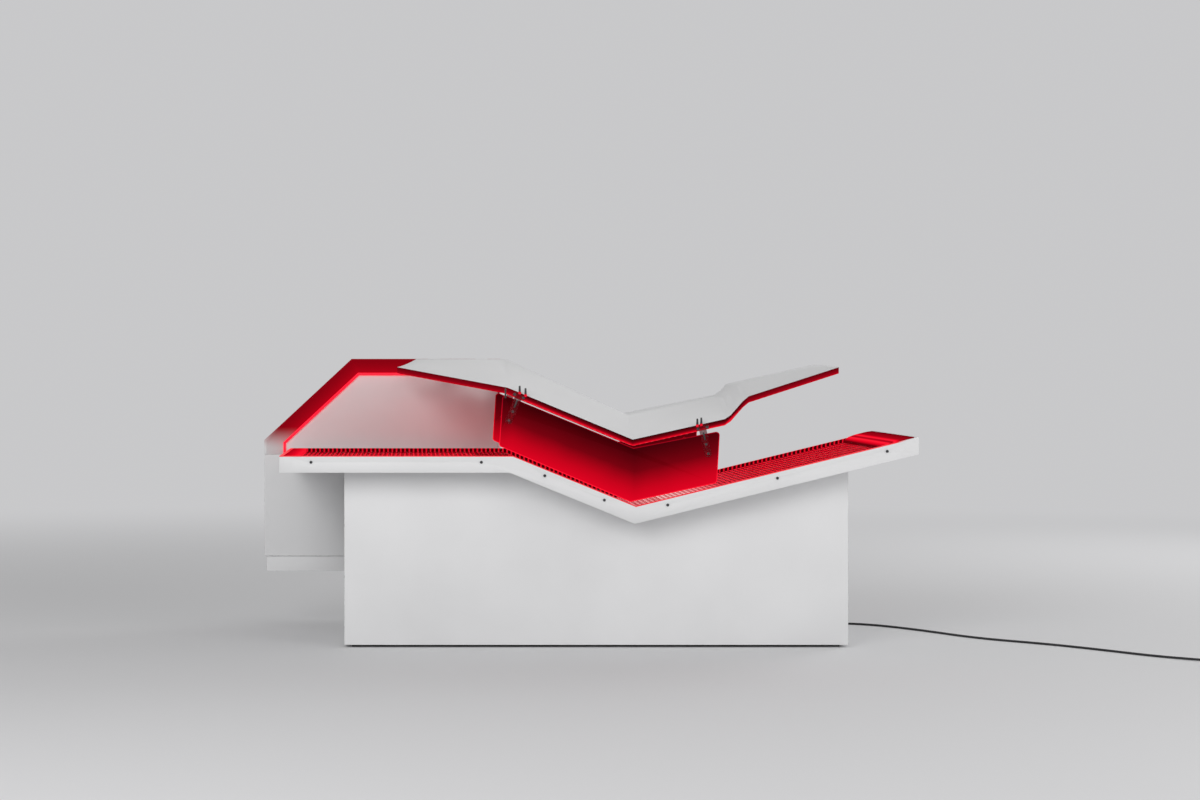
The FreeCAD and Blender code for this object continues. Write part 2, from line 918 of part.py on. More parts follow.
pieces = []
for n in range(3):
    flat = [outer_line[n], outer_line[n + 1], border_line[n + 1], border_line[n]]
    pieces.append(sheet_piece([vec(x, bezel_front, z) for x, z in flat]))
    (ax, az), (bx, bz) = border_back[n], border_back[n + 1]
    (cx, cz), (dx, dz) = inner_line[n + 1], inner_line[n]
    pieces.append(
        sheet_piece(
            [vec(ax, bezel_front, az), vec(bx, bezel_front, bz), vec(cx, inner_y, cz), vec(dx, inner_y, dz)]
        )
    )
bezel = fuse(pieces)
for x in arm_stations:
    bezel = bezel.cut(arm_notch(x, bezel_front - over_cut, tower_back))
save("tower_bezel", bezel)

# White inset panel and the light line round it
panel_back = panel_front + bezel_sheet
panel_points = inset_outline(
    tower_wall + fit_gap,
    ledge_height,
    bezel_side - bezel_lap,
    bezel_slant - bezel_lap,
    bezel_top - bezel_lap,
)
save("tower_front_panel", prism(panel_points, panel_front, panel_back))
line_outer = inset_outline(
    tower_wall + fit_gap,
    ledge_height,
    bezel_side + light_line_gap,
    bezel_slant + light_line_gap,
    bezel_top + light_line_gap,
)
line_inner = inset_outline(
    tower_wall - over_cut,
    ledge_height - over_cut,
    bezel_side + light_line,
    bezel_slant + light_line,
    bezel_top + light_line,
)
save("tower_light_line", ring_y(line_outer, line_inner, panel_front - light_line_depth, panel_front))

# Rear cover and inset lower skirt of the tower
cover_points = inset_outline(tower_wall + fit_gap, tower_bottom)
save("tower_rear_cover", prism(cover_points, tower_back - rear_cover_thickness, tower_back))
skirt_low = tower_bottom - skirt_drop
skirt_top = tower_bottom + skirt_lap
skirt_left = tower_left + tower_wall
skirt_right = tower_left + mast_open
skirt_back = tower_back - rear_room
skirt = fuse(
    [
        box(skirt_left, skirt_left + skirt_wall, wall_y2, skirt_back, skirt_low, skirt_top),
        box(skirt_left, skirt_right, wall_y2, wall_y2 + skirt_wall, skirt_low, skirt_top),
    ]
)
save("tower_skirt", skirt)

# Three-stage lifting columns behind the base
column_y = tower_back - rear_room - column_size / 2
column_stations = [tower_left + column_from_left, tower_right - column_from_right]
column_top = column_bottom + column_length
middle_size = column_size - 2 * column_wall - 2 * column_play
inner_size = middle_size - 2 * column_wall - 2 * column_play


def square_tube(x, size, z1, z2, wall):
    half = size / 2
    outer = box(x - half, x + half, column_y - half, column_y + half, z1, z2)
    half = half - wall
    core = box(x - half, x + half, column_y - half, column_y + half, z1 - over_cut, z2 + over_cut)
    return outer.cut(core)


def glide_pads(x, size, z):
    """Four pads on the inside of a tube of the given inner size, with their tops at z."""
    thick = column_play - glide_clearance
    half = size / 2
    wide = glide_share * size
    low = z - glide_height
    return [
        box(x - half, x - half + thick, column_y - wide, column_y + wide, low, z),
        box(x + half - thick, x + half, column_y - wide, column_y + wide, low, z),
        box(x - wide, x + wide, column_y - half, column_y - half + thick, low, z),
        box(x - wide, x + wide, column_y + half - thick, column_y + half, low, z),
    ]


outer_tubes = []
outer_pads = []
inner_tubes = []
foot_plate = 8.0
cap_plate = 8.0
inner_top = column_top + 2 * stage_step
for name, x in zip(("left", "right"), column_stations):
    half = column_size / 2
    plate_low = column_bottom - foot_plate
    foot = box(x - half, x + half, column_y - half, column_y + half, plate_low, column_bottom)
    outer = square_tube(x, column_size, column_bottom, column_top, column_wall)
    outer_tubes.append(fuse([outer, foot]))
    outer_pads.extend(glide_pads(x, column_size - 2 * column_wall, column_top))
    middle = square_tube(x, middle_size, column_bottom + stage_room, column_top + stage_step, column_wall)
    save("lift_middle_" + name, middle)
    pads = glide_pads(x, middle_size - 2 * column_wall, column_top + stage_step)
    save_group("lift_middle_glides_" + name, pads)
    inner = square_tube(x, inner_size, column_bottom + 2 * stage_room, inner_top, column_wall)
    half = inner_size / 2
    cap = box(x - half, x + half, column_y - half, column_y + half, inner_top, inner_top + cap_plate)
    inner_tubes.append(fuse([inner, cap]))
save_group("lift_outer_tubes", outer_tubes)
save_group("lift_outer_glides", outer_pads)
save_group("lift_inner_tubes", inner_tubes)

# Mast that carries the columns on the base's rear panel
mast_front = half_base_w
mast_back = column_y - column_size / 2
mast_top = foot_height - mast_drop
mast_bottom = mast_top - mast_height
arm_y1 = mast_front + mast_plate
arm_y2 = mast_back - mast_plate
mast_parts = []
for x in column_stations:
    half = mast_width / 2
    mast_parts.append(box(x - half, x + half, mast_front, arm_y1, mast_bottom, mast_top))
    mast_parts.append(box(x - half, x + half, arm_y2, mast_back, mast_bottom, mast_top))
    for z in (mast_bottom + mast_arm_inset, mast_top - mast_arm - mast_arm_inset):
        half = mast_arm / 2
        core = half - mast_arm_wall
        arm = box(x - half, x + half, arm_y1, arm_y2, z, z + mast_arm)
        hollow = box(
            x - core,
            x + core,
            arm_y1 - over_cut,
            arm_y2 + over_cut,
            z + mast_arm_wall,
            z + mast_arm - mast_arm_wall,
        )
        mast_parts.append(arm.cut(hollow))
tie_y = mast_front + mast_tie_from_base
tie_z = mast_bottom + mast_arm_inset + (mast_arm - mast_tie_height) / 2
tie = box(
    column_stations[0] + mast_arm / 2,
    column_stations[1] - mast_arm / 2,
    tie_y,
    tie_y + mast_tie_depth,
    tie_z,
    tie_z + mast_tie_height,
)
mast_parts.append(tie)
save("lift_mast", fuse(mast_parts))

# Carriage on the inner tubes: cross beam, uprights and two arms under the canopy's flat top
beam_low = inner_top + cap_plate
beam_high = beam_low + beam_size
beam_front = column_y - arm_width
beam_back = beam_front + beam_size
spine_edge = ridge_half - spine_inset
beam = box(tower_left + tower_wall, tower_right - tower_wall, beam_front, beam_back, beam_low, beam_high)
beam_core = box(
    tower_left,
    tower_right,
    beam_front + arm_wall,
    beam_back - arm_wall,
    beam_low + arm_wall,
    beam_high - arm_wall,
)
beam_room = prism(inset_outline(tower_wall, tower_bottom), tower_front, tower_back)
carriage_parts = [beam.cut(beam_core).common(beam_room)]
for x in arm_stations:
    half = arm_width / 2
    core = half - arm_wall
    upright_back = beam_front + arm_width
    upright = box(x - half, x + half, beam_front, upright_back, beam_high, arm_top)
    hollow = box(
        x - core,
        x + core,
        beam_front + arm_wall,
        upright_back - arm_wall,
        beam_high + over_cut,
        arm_low,
    )
    carriage_parts.append(upright.cut(hollow))
    arm = box(x - half, x + half, spine_edge, beam_front, arm_low, arm_top)
    hollow = box(
        x - core,
        x + core,
        spine_edge + arm_wall,
        beam_front - arm_wall,
        arm_low + arm_wall,
        arm_top - arm_wall,
    )
    carriage_parts.append(arm.cut(hollow))
save("lift_carriage", fuse(carriage_parts))

# Canopy shell: ruled through the stations, hollow from below
lip_line = [(x, low) for x, low, ridge in canopy_stations]
ridge_line = [(x, ridge) for x, low, ridge in canopy_stations]


def canopy_body(drop, end_trim):
    wires = []
    for x, low, ridge in canopy_stations:
        if x == canopy_stations[-1][0]:
            x = x - end_trim
        lip = low + lip_height - drop
        corners = [
            vec(x, -canopy_half, lip),
            vec(x, -ridge_half, ridge - drop),
            vec(x, ridge_half, ridge - drop),
            vec(x, canopy_half, lip),
        ]
        wires.append(Part.makePolygon(corners + [corners[0]]))
    return Part.makeLoft(wires, True, True)


def foot_cut(shift):
    """The foot end runs back from the two lip corners to a straight edge between the ridges."""
    x0 = canopy_foot - over_cut
    x1 = canopy_foot + foot_corner + shift
    x2 = x1 + foot_end_cut
    wide = canopy_half + over_cut
    points = [
        (x0, -wide),
        (x1, -wide),
        (x1, -canopy_half),
        (x2, -ridge_half),
        (x2, ridge_half),
        (x1, canopy_half),
        (x1, wide),
        (x0, wide),
    ]
    return plan_prism(points, foot_height, tower_top + lip_height)


outer = canopy_body(0.0, 0.0).cut(foot_cut(0.0))
inner = canopy_body(shell_thickness, shell_thickness).cut(foot_cut(shell_thickness))
canopy_shell = outer.cut(inner)
for x in arm_stations:
    canopy_shell = canopy_shell.cut(arm_notch(x, ridge_half, canopy_half + over_cut))
save("canopy_shell", canopy_shell)

# Canopy liner: red-lit pan with a lip under the shell
lip_top = raised(lip_line, lip_height)
liner = band(lip_top, lip_line, -canopy_half, canopy_half).cut(foot_cut(0.0))
cavity_x2 = lip_line[-1][0] - liner_wall
cavity_low = clip(raised(lip_line, liner_floor), canopy_foot + over_cut, cavity_x2)
cavity_high = clip(raised(lip_line, lip_height + over_cut), canopy_foot + over_cut, cavity_x2)
liner_half = canopy_half - liner_wall
cavity = band(cavity_high, cavity_low, -liner_half, liner_half).cut(foot_cut(liner_wall))
liner = liner.cut(cavity)
save("canopy_liner", liner)

# LED panels lying in the liner, one on each straight stretch
panel_floor = raised(lip_line, liner_floor)
panel_top_line = raised(lip_line, liner_floor + led_panel_height)
panel_start = canopy_foot + foot_end_cut + led_panel_foot_gap
panel_half = liner_half - led_panel_edge
panel_ranges = [
    ("foot", panel_start - led_panel_gap, lip_line[1][0]),
    ("thigh", lip_line[1][0], lip_line[2][0]),
    ("chest", lip_line[2][0], lip_line[3][0]),
    ("head", lip_line[7][0], lip_line[8][0]),
]
for name, x1, x2 in panel_ranges:
    x1 = x1 + led_panel_gap
    x2 = x2 - led_panel_gap
    piece = band(clip(panel_top_line, x1, x2), clip(panel_floor, x1, x2), -panel_half, panel_half)
    save("canopy_led_panel_" + name, piece)

# Canopy spines under the ridge, which the carriage arms meet
spine_x1 = panel_start
spine_x2 = seat[0] + spine_reach
spine_high = clip(raised(ridge_line, -shell_thickness), spine_x1, spine_x2)
spine_low = clip(raised(ridge_line, -shell_thickness - spine_depth), spine_x1, spine_x2)
spines = [
    band(spine_high, spine_low, spine_edge - spine_width, spine_edge),
    band(spine_high, spine_low, -spine_edge, -spine_edge + spine_width),
]
save_group("canopy_spines", spines)

# Side shields hung from the lips, front and rear
thigh = (knee, seat)
back = (seat, head_end)
thigh_lip = (lip_line[1], lip_line[2])
chest_lip = (lip_line[2], lip_line[3])


def over(line, x, rise):
    """A point at x, that much above a straight line or its extension."""
    p, q = line
    return (x, p[1] + slope_of(p, q) * (x - p[0]) + rise)


# Corners of a shield: its distance from the seat's bend, and its height over the deck or under the lip
shield_points = [
    over(thigh, seat[0] - 469.0, 13.0),
    over(thigh, seat[0] - 15.0, 5.0),
    over(back, seat[0] + 286.0, 7.0),
    over(chest_lip, seat[0] + 296.0, -15.0),
    over(chest_lip, seat[0] - 3.0, -7.0),
    over(thigh_lip, seat[0] - 457.0, -7.0),
]
shield_near = canopy_half + shield_offset
shield_far = shield_near + shield_thickness
bar_far = shield_far + bracket_thickness


def rounded(solid, radius):
    """Rounds the upright corners at the two ends of a shield."""
    bend_room = 60.0
    edges = []
    for edge in solid.Edges:
        a, b = edge.Vertexes[0].Point, edge.Vertexes[-1].Point
        outer_corner = abs(a.x - seat[0]) > bend_room
        if abs(a.x - b.x) < 0.01 and abs(a.z - b.z) < 0.01 and outer_corner:
            edges.append(edge)
    return solid.makeFillet(radius, edges)


half_bar = bracket_width / 2
bar_straight = bracket_length - half_bar
slot_half = 3.0
slot_start = 22.0
slot_end = 52.0
bracket_rise = 0.8 * lip_height
hinge_start = 2.0
hinge_end = 15.0
hinge_half = 22.0
hinge_screw_inset = 6.0
hinge_screw_radius = 0.4 * bolt_head
hinge_screw_height = 3.0
thread_past_nut = 1.0
bolt_inset = 13.0
bolt_pitch = 33.0
bolt_spots = (bracket_length - bolt_inset - bolt_pitch, bracket_length - bolt_inset)
hinge_face = bar_far + bracket_thickness
bracket_tops = [
    (seat[0] - thigh_bracket_from_seat, thigh_lip),
    (seat[0] + chest_bracket_from_seat, chest_lip),
]
brackets = []
bolts = []
for side, name in ((-1, "front_shield"), (1, "rear_shield")):
    y1, y2 = sorted((side * shield_near, side * shield_far))
    shield = rounded(prism(shield_points, y1, y2), shield_corner)
    for top_x, lip in bracket_tops:
        slope = math.atan(slope_of(*lip))
        down = (math.sin(slope), -math.cos(slope))
        level = (math.cos(slope), math.sin(slope))
        start = (top_x, height_on(lip_line, top_x) + bracket_rise)

        def at(s, w):
            return (start[0] + s * down[0] + w * level[0], start[1] + s * down[1] + w * level[1])

        def oblong(s1, s2, half):
            return [at(s1, -half), at(s1, half), at(s2, half), at(s2, -half)]

        y1, y2 = sorted((side * shield_far, side * bar_far))
        bar = prism(oblong(0, bar_straight, half_bar), y1, y2)
        end_x, end_z = at(bar_straight, 0)
        bar = bar.fuse(rod_y(end_x, end_z, half_bar, y1, y2))
        bar = bar.cut(prism(oblong(slot_start, slot_end, slot_half), y1 - over_cut, y2 + over_cut))
        y1, y2 = sorted((side * canopy_half, side * hinge_face))
        block = prism(oblong(hinge_start, hinge_end, hinge_half), y1, y2)
        bar = fuse([bar, block])
        for s in bolt_spots:
            bx, bz = at(s, 0)
            hole_r = bolt_shank / 2 + screw_hole_clearance
            y1, y2 = sorted((side * (shield_near - over_cut), side * (bar_far + over_cut)))
            hole = rod_y(bx, bz, hole_r, y1, y2)
            bar = bar.cut(hole)
            shield = shield.cut(hole)
            outward = vec(0, side, 0)
            head_r = bolt_head / 2
            outside = vec(bx, side * bar_far, bz)
            inside = vec(bx, side * shield_near, bz)
            head = Part.makeCylinder(head_r, bolt_head_height, outside, outward)
            shank_length = bracket_thickness + shield_thickness + bolt_head_height + thread_past_nut
            shank = Part.makeCylinder(bolt_shank / 2, shank_length, outside, -outward)
            nut = Part.makeCylinder(head_r, bolt_head_height, inside, -outward)
            bolts.append(fuse([head, shank, nut]))
        for w in (-hinge_half + hinge_screw_inset, hinge_half - hinge_screw_inset):
            bx, bz = at((hinge_start + hinge_end) / 2, w)
            spot = vec(bx, side * hinge_face, bz)
            bolts.append(
                Part.makeCylinder(hinge_screw_radius, hinge_screw_height, spot, vec(0, side, 0))
            )
        brackets.append(bar)
    save(name, shield)
save_group("shield_brackets", brackets)
save_group("shield_bolts", bolts)

# Power cord: free stretch from the gland across the floor
cord_radius = cord_diameter / 2
tie_sheet = 0.8
tie_gap = 0.2
coil_low = cord_radius + tie_sheet + tie_gap
cord_in_gland = 15.0
cord_exit = (gland_x, gland_end - cord_in_gland, service_z)
cord_points = [
    cord_exit,
    (780.0, 340.0, 90.0),
    (786.0, 388.0, 72.0),
    (802.0, 432.0, 44.0),
    (832.0, 474.0, 18.0),
    (888.0, 501.0, 5.0),
    (965.0, 507.0, 4.0),
    (1043.0, 487.0, 4.0),
    (1114.0, 435.0, 4.0),
    (1176.0, 361.0, 4.0),
    (1234.0, 275.0, 4.0),
    (1288.0, 182.0, 4.0),
    (1339.0, 87.0, 4.0),
    (1396.0, 0.0, 4.0),
    (1463.0, -75.0, 4.0),
    (1537.0, -142.0, 4.0),
    (1609.0, -214.0, 4.0),
    (1677.0, -295.0, 4.0),
    (1743.0, -383.0, 4.0),
    (1806.0, -473.0, 4.0),
    (1870.0, -560.0, 4.2),
    (1941.0, -636.0, coil_low),
    (2020.0, -700.0, coil_low),
]
route = [vec(*point) for point in cord_points]


def tube_along(edges):
    """A round tube along a wire, with a check of its volume against section times length."""
    wire = Part.Wire([edge.toShape() for edge in edges])
    first = wire.OrderedEdges[0]
    start = first.valueAt(first.FirstParameter)
    heading = first.tangentAt(first.FirstParameter)
    ring = Part.Wire([Part.Circle(start, heading, cord_radius).toShape()])
    shell = Part.BRepOffsetAPI.MakePipeShell(wire)
    shell.add(ring)
    shell.build()
    shell.makeSolid()
    tube = shell.shape()
    ideal = math.pi * cord_radius ** 2 * wire.Length
    print("tube length", round(wire.Length, 1), "volume over ideal", round(tube.Volume / ideal, 4))
    return tube, wire


arc_share = 0.45
edges = []
radii = []
done = route[0]
for a, b, c in zip(route, route[1:], route[2:]):
    into = (b - a).normalize()
    out = (c - b).normalize()
    turn = into.getAngle(out)
    reach = arc_share * min((b - a).Length, (c - b).Length)
    radius = reach / math.tan(turn / 2)
    radii.append(round(radius))
    start = b - into * reach
    end = b + out * reach
    centre = b + (out - into).normalize() * (radius / math.cos(turn / 2))
    middle = centre + (b - centre).normalize() * radius
    edges.append(Part.LineSegment(done, start))
    edges.append(Part.Arc(start, middle, end))
    done = end
edges.append(Part.LineSegment(done, route[-1]))
print("cord radii", radii)
cord, cord_wire = tube_along(edges)
save("power_cord", cord)

# Put-away coil: two layers of half turns, in on the lower layer and out on the upper one
coil_gap = 0.6
half_step = (cord_diameter + coil_gap) / 2
coil_radius = 55.2
layer_rise = cord_diameter + coil_gap
coil_high = coil_low + layer_rise
tail = 60.0


def half_turn(x, side, radius, z):
    middle = vec(x - side * radius, side * radius, z)
    return Part.Arc(vec(x, 0, z), middle, vec(x - 2 * side * radius, 0, z))


def quarter_climb(start, heading, end):
    """An arc that leaves start along heading and reaches end, with the heading it has there."""
    chord = end - start
    unit = vec(chord.x, chord.y, chord.z).normalize()
    bulge = heading - unit * heading.dot(unit)
    sag = chord.Length / 2 * math.tan(heading.getAngle(unit) / 2)
    middle = start + chord * 0.5 + bulge.normalize() * sag
    return Part.Arc(start, middle, end), unit * (2 * heading.dot(unit)) - heading


coil_edges = [Part.LineSegment(vec(coil_radius, -cord_diameter, coil_low), vec(coil_radius, 0, coil_low))]
x = coil_radius
side = 1
for n in range(4):
    radius = coil_radius - n * half_step
    coil_edges.append(half_turn(x, side, radius, coil_low))
    x = x - 2 * side * radius
    side = -side
radius = coil_radius - 4 * half_step
top = vec(0, math.hypot(radius, layer_rise / 2), coil_low + layer_rise / 2)
arc, heading = quarter_climb(vec(x, 0, coil_low), vec(0, 1, 0), top)
coil_edges.append(arc)
arc, heading = quarter_climb(top, heading, vec(-x, 0, coil_high))
coil_edges.append(arc)
x = -x
side = -side
for n in (3, 2, 1):
    radius = coil_radius - n * half_step
    coil_edges.append(half_turn(x, side, radius, coil_high))
    x = x - 2 * side * radius
    side = -side
tail_end = vec(x, tail, coil_high)
coil_edges.append(Part.LineSegment(vec(x, 0, coil_high), tail_end))
coil, coil_wire = tube_along(coil_edges)
sample_count = 500
samples = coil_wire.discretize(Number=sample_count)
spacing = coil_wire.Length / (sample_count - 1)
apart = int(3 * cord_diameter / spacing)
least = min(
    samples[i].distanceToPoint(samples[j])
    for i in range(sample_count)
    for j in range(i + apart, sample_count)
)
print("coil least gap", round(least - cord_diameter, 2))
print("cord total length", round(cord_wire.Length + coil_wire.Length))

# Tie round the coil, and the plug at its tail
tie_half = 5.0
tie_y1 = -(coil_radius - half_step) - cord_radius - tie_gap
inner_edge = coil_radius - 3 * half_step - cord_radius
tie_y2 = -math.sqrt(inner_edge ** 2 - (tie_half + half_step) ** 2) + tie_gap
tie_z1 = coil_low - cord_radius - tie_gap
tie_z2 = coil_high + cord_radius + tie_gap
tie = box(
    -tie_half,
    tie_half,
    tie_y1 - tie_sheet,
    tie_y2 + tie_sheet,
    tie_z1 - tie_sheet,
    tie_z2 + tie_sheet,
).cut(box(-tie_half - over_cut, tie_half + over_cut, tie_y1, tie_y2, tie_z1, tie_z2))
plug_start = tail_end.y + plug_relief
plug_face = plug_start + plug_body
pin_root = plug_face - 2.0
pin_z = coil_high + 6.0
blade_z = coil_high - 7.0
plug_parts = [
    Part.makeCone(cord_radius + 1.0, plug_relief_radius, plug_relief, tail_end, vec(0, 1, 0)),
    rod_y(x, coil_high, plug_radius, plug_start, plug_face),
    rod_y(x, pin_z, plug_pin_radius, pin_root, plug_face + plug_pin),
]
for side in (-1, 1):
    near = x + side * plug_blade_apart / 2
    x1, x2 = sorted((near, near + side * plug_blade_thickness))
    plug_parts.append(
        box(x1, x2, pin_root, plug_face + plug_blade, blade_z, blade_z + plug_blade_height)
    )
plug = fuse(plug_parts)
arrival = route[-1] - route[-2]
swing = math.degrees(math.atan2(arrival.y, arrival.x)) - 90.0
for name, shape in (("power_cord_coil", coil), ("cord_tie", tie), ("power_plug", plug)):
    shape.translate(vec(-coil_radius, cord_diameter, 0))
    shape.rotate(vec(0, 0, 0), vec(0, 0, 1), swing)
    shape.translate(vec(route[-1].x, route[-1].y, 0))
    save(name, shape)
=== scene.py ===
# %% [markdown]
# # A red light therapy bed
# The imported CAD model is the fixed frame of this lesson. Each step takes one piece of the real bed, says
# how it could be made in Blender, and dresses or replaces the plain CAD solid. Everything is in metres, with
# the head end at +X and the lift tower behind the bed at +Y.

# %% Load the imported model
import json
import math

import bpy
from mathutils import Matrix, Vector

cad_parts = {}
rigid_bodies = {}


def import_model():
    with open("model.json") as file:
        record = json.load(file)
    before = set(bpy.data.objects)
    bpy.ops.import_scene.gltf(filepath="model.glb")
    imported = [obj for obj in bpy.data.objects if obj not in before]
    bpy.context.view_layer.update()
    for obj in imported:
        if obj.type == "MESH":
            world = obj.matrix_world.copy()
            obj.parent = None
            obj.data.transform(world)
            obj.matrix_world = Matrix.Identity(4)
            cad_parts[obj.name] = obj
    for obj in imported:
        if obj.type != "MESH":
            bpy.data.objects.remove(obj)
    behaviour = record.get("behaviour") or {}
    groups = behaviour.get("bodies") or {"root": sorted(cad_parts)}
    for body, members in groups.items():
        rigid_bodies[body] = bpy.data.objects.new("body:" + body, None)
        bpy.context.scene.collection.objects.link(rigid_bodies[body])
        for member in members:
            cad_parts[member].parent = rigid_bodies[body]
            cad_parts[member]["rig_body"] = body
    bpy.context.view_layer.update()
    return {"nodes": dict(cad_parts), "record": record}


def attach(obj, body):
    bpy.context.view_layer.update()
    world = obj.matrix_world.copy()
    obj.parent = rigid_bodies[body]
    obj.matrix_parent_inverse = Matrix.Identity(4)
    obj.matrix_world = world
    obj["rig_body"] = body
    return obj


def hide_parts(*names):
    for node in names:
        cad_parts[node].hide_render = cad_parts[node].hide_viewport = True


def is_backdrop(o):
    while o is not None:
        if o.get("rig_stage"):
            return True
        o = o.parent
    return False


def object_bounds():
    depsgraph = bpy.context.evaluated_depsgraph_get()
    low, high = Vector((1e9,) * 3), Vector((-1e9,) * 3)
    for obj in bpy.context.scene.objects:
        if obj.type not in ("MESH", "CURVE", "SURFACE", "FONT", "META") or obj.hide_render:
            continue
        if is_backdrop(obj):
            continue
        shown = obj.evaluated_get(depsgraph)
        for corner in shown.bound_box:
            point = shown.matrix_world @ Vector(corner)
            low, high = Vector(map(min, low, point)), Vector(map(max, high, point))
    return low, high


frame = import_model()
scene = bpy.context.scene
slot_of = {part["node"]: part["material_slot"] for part in frame["record"]["subparts"]}

# %% [markdown]
# ## Camera
# The photograph was taken from the front with the camera level, and the picture was cropped off centre.
# A level camera with a lens shift keeps the upright edges upright, which tilting the camera would not.

# %% Camera
camera_place = (-0.647, -8.9, 0.983)
sensor_width = 36.0
focal_length = 74.13
shift_across = 0.1575
shift_up = -0.0283

bpy.ops.object.select_all(action="DESELECT")
bpy.ops.object.camera_add(location=camera_place, rotation=(math.radians(90), 0, 0))
camera = bpy.context.object
camera.name = "front_camera"
camera.data.sensor_width = sensor_width
camera.data.lens = focal_length
camera.data.shift_x = shift_across
camera.data.shift_y = shift_up
scene.camera = camera
print("camera", tuple(camera.location))

# %% [markdown]
# ## Finishes
# Every finish is a Principled shader fed by noise on Object coordinates, so the pattern has a real size and
# stays on the piece. Small helpers keep the node work short: one adds a node and feeds it, one starts a
# finish, one adds a noise, one does sums, one maps a number to a colour, and one adds a fine bump. A coat
# puts them together for plain paint, plastic and metal. The same helpers serve the nodes of the studio.

# %% Helpers for finishes
noise_low = 0.3
noise_high = 0.7


def add_node(owner, kind, values):
    """A new node. Each value is a number or colour for that socket, or another node's output to link."""
    node = owner.node_tree.nodes.new(kind)
    for key, value in values.items():
        if isinstance(value, bpy.types.NodeSocket):
            owner.node_tree.links.new(value, node.inputs[key])
        else:
            node.inputs[key].default_value = value
    return node


def new_finish(name, colour, roughness, metallic=0.0, specular=0.5):
    made = bpy.data.materials.new(name)
    made.use_nodes = True
    shader = shader_of(made)
    shader.inputs["Base Color"].default_value = (*colour, 1.0)
    shader.inputs["Roughness"].default_value = roughness
    shader.inputs["Metallic"].default_value = metallic
    shader.inputs["Specular IOR Level"].default_value = specular
    return made


def shader_of(made):
    return made.node_tree.nodes["Principled BSDF"]


def object_place(made):
    return add_node(made, "ShaderNodeTexCoord", {}).outputs["Object"]


def place_parts(made):
    """X, Y and Z of the surface point, in metres."""
    return add_node(made, "ShaderNodeSeparateXYZ", {0: object_place(made)}).outputs


def noise(made, scale, detail=3.0, stretch=(1.0, 1.0, 1.0)):
    mapping = add_node(made, "ShaderNodeMapping", {"Vector": object_place(made), "Scale": stretch})
    values = {"Vector": mapping.outputs[0], "Scale": scale, "Detail": detail}
    return add_node(made, "ShaderNodeTexNoise", values).outputs["Fac"]


def sum_of(made, operation, a, b=0.0):
    """A Math node on two values, each a number or a socket."""
    node = add_node(made, "ShaderNodeMath", {0: a, 1: b})
    node.operation = operation
    return node.outputs[0]


def remap(made, value, low, high, out_low=0.0, out_high=1.0, smooth=False):
    values = {"Value": value, "From Min": low, "From Max": high, "To Min": out_low, "To Max": out_high}
    node = add_node(made, "ShaderNodeMapRange", values)
    node.interpolation_type = "SMOOTHSTEP" if smooth else "LINEAR"
    return node.outputs["Result"]


def spread(made, grain, low, high):
    """A noise spread over the range from low to high."""
    return remap(made, grain, noise_low, noise_high, low, high)


def colours(made, value, *stops):
    """A colour ramp through (position, colour) stops."""
    node = add_node(made, "ShaderNodeValToRGB", {"Fac": value})
    line = node.color_ramp.elements
    while len(line) < len(stops):
        line.new(0.5)
    for spot, (position, colour) in zip(line, stops):
        spot.position = position
        spot.color = (*colour, 1.0)
    return node.outputs["Color"]


def feed(made, value, socket):
    made.node_tree.links.new(value, shader_of(made).inputs[socket])


def bump(made, height, strength, distance):
    node = add_node(made, "ShaderNodeBump", {"Height": height, "Strength": strength, "Distance": distance})
    feed(made, node.outputs["Normal"], "Normal")


def coat(name, dark, light, scale, rough, grain=None, metallic=0.0, specular=0.5):
    """Slow colour drift and uneven gloss, as on any real coat.

    rough is the range of the roughness. grain, where there is one, is the fine bump's noise scale and
    detail, its strength and its depth.
    """
    made = new_finish(name, light, rough[1], metallic, specular)
    feed(made, colours(made, noise(made, scale), (noise_low, dark), (noise_high, light)), "Base Color")
    feed(made, spread(made, noise(made, scale * 4.0), *rough), "Roughness")
    if grain:
        fineness, detail, strength, depth = grain
        bump(made, noise(made, fineness, detail), strength, depth)
    return made


# %% [markdown]
# ## Light, floor and background
# The bed glows by itself, so the room only needs a plain, soft light at which white paint reads as white.
# Three large area lamps give broad highlights on the satin surfaces. The floor fades into the colour of the
# world far away, which hides the horizon without a backdrop that would stand in the way of other views.

# %% Studio helpers
backdrop_grey = (0.58, 0.58, 0.59, 1.0)
lamp_size = 3.5


def light_path(owner):
    """Sockets that are 1 for the kind of ray that they name, and 0 for all others."""
    return add_node(owner, "ShaderNodeLightPath", {}).outputs


def backdrop(owner, kind):
    """The plain grey of the backdrop, as a shader of that kind."""
    return add_node(owner, kind, {"Color": backdrop_grey}).outputs[0]


def end_mixed(owner, ending, share, first, second):
    """Ends the nodes in the first shader where the share is 0, and in the second where it is 1."""
    node = add_node(owner, "ShaderNodeMixShader", {0: share, 1: first, 2: second})
    tree = owner.node_tree
    tree.links.new(node.outputs[0], tree.nodes[ending].inputs["Surface"])


def lamp(name, place, aim, power):
    bpy.ops.object.light_add(type="AREA", location=place)
    made = bpy.context.object
    made.name = name
    made.data.size = lamp_size
    made.data.energy = power
    away = made.location - Vector(aim)
    made.rotation_euler = away.to_track_quat("Z", "Y").to_euler()


# %% Studio
room_light = 0.42
floor_radius = 45.0
fade_from = 2.2
fade_to = 9.0

scene.view_settings.view_transform = "Standard"
world = bpy.data.worlds.new("studio")
world.use_nodes = True
scene.world = world
room = world.node_tree.nodes["Background"]
room.inputs["Color"].default_value = (1.0, 1.0, 1.0, 1.0)
room.inputs["Strength"].default_value = room_light
rays = light_path(world)
seen = sum_of(world, "MAXIMUM", rays["Is Camera Ray"], rays["Is Glossy Ray"])
seen = sum_of(world, "MAXIMUM", seen, rays["Is Transmission Ray"])
end_mixed(world, "World Output", seen, room.outputs[0], backdrop(world, "ShaderNodeBackground"))

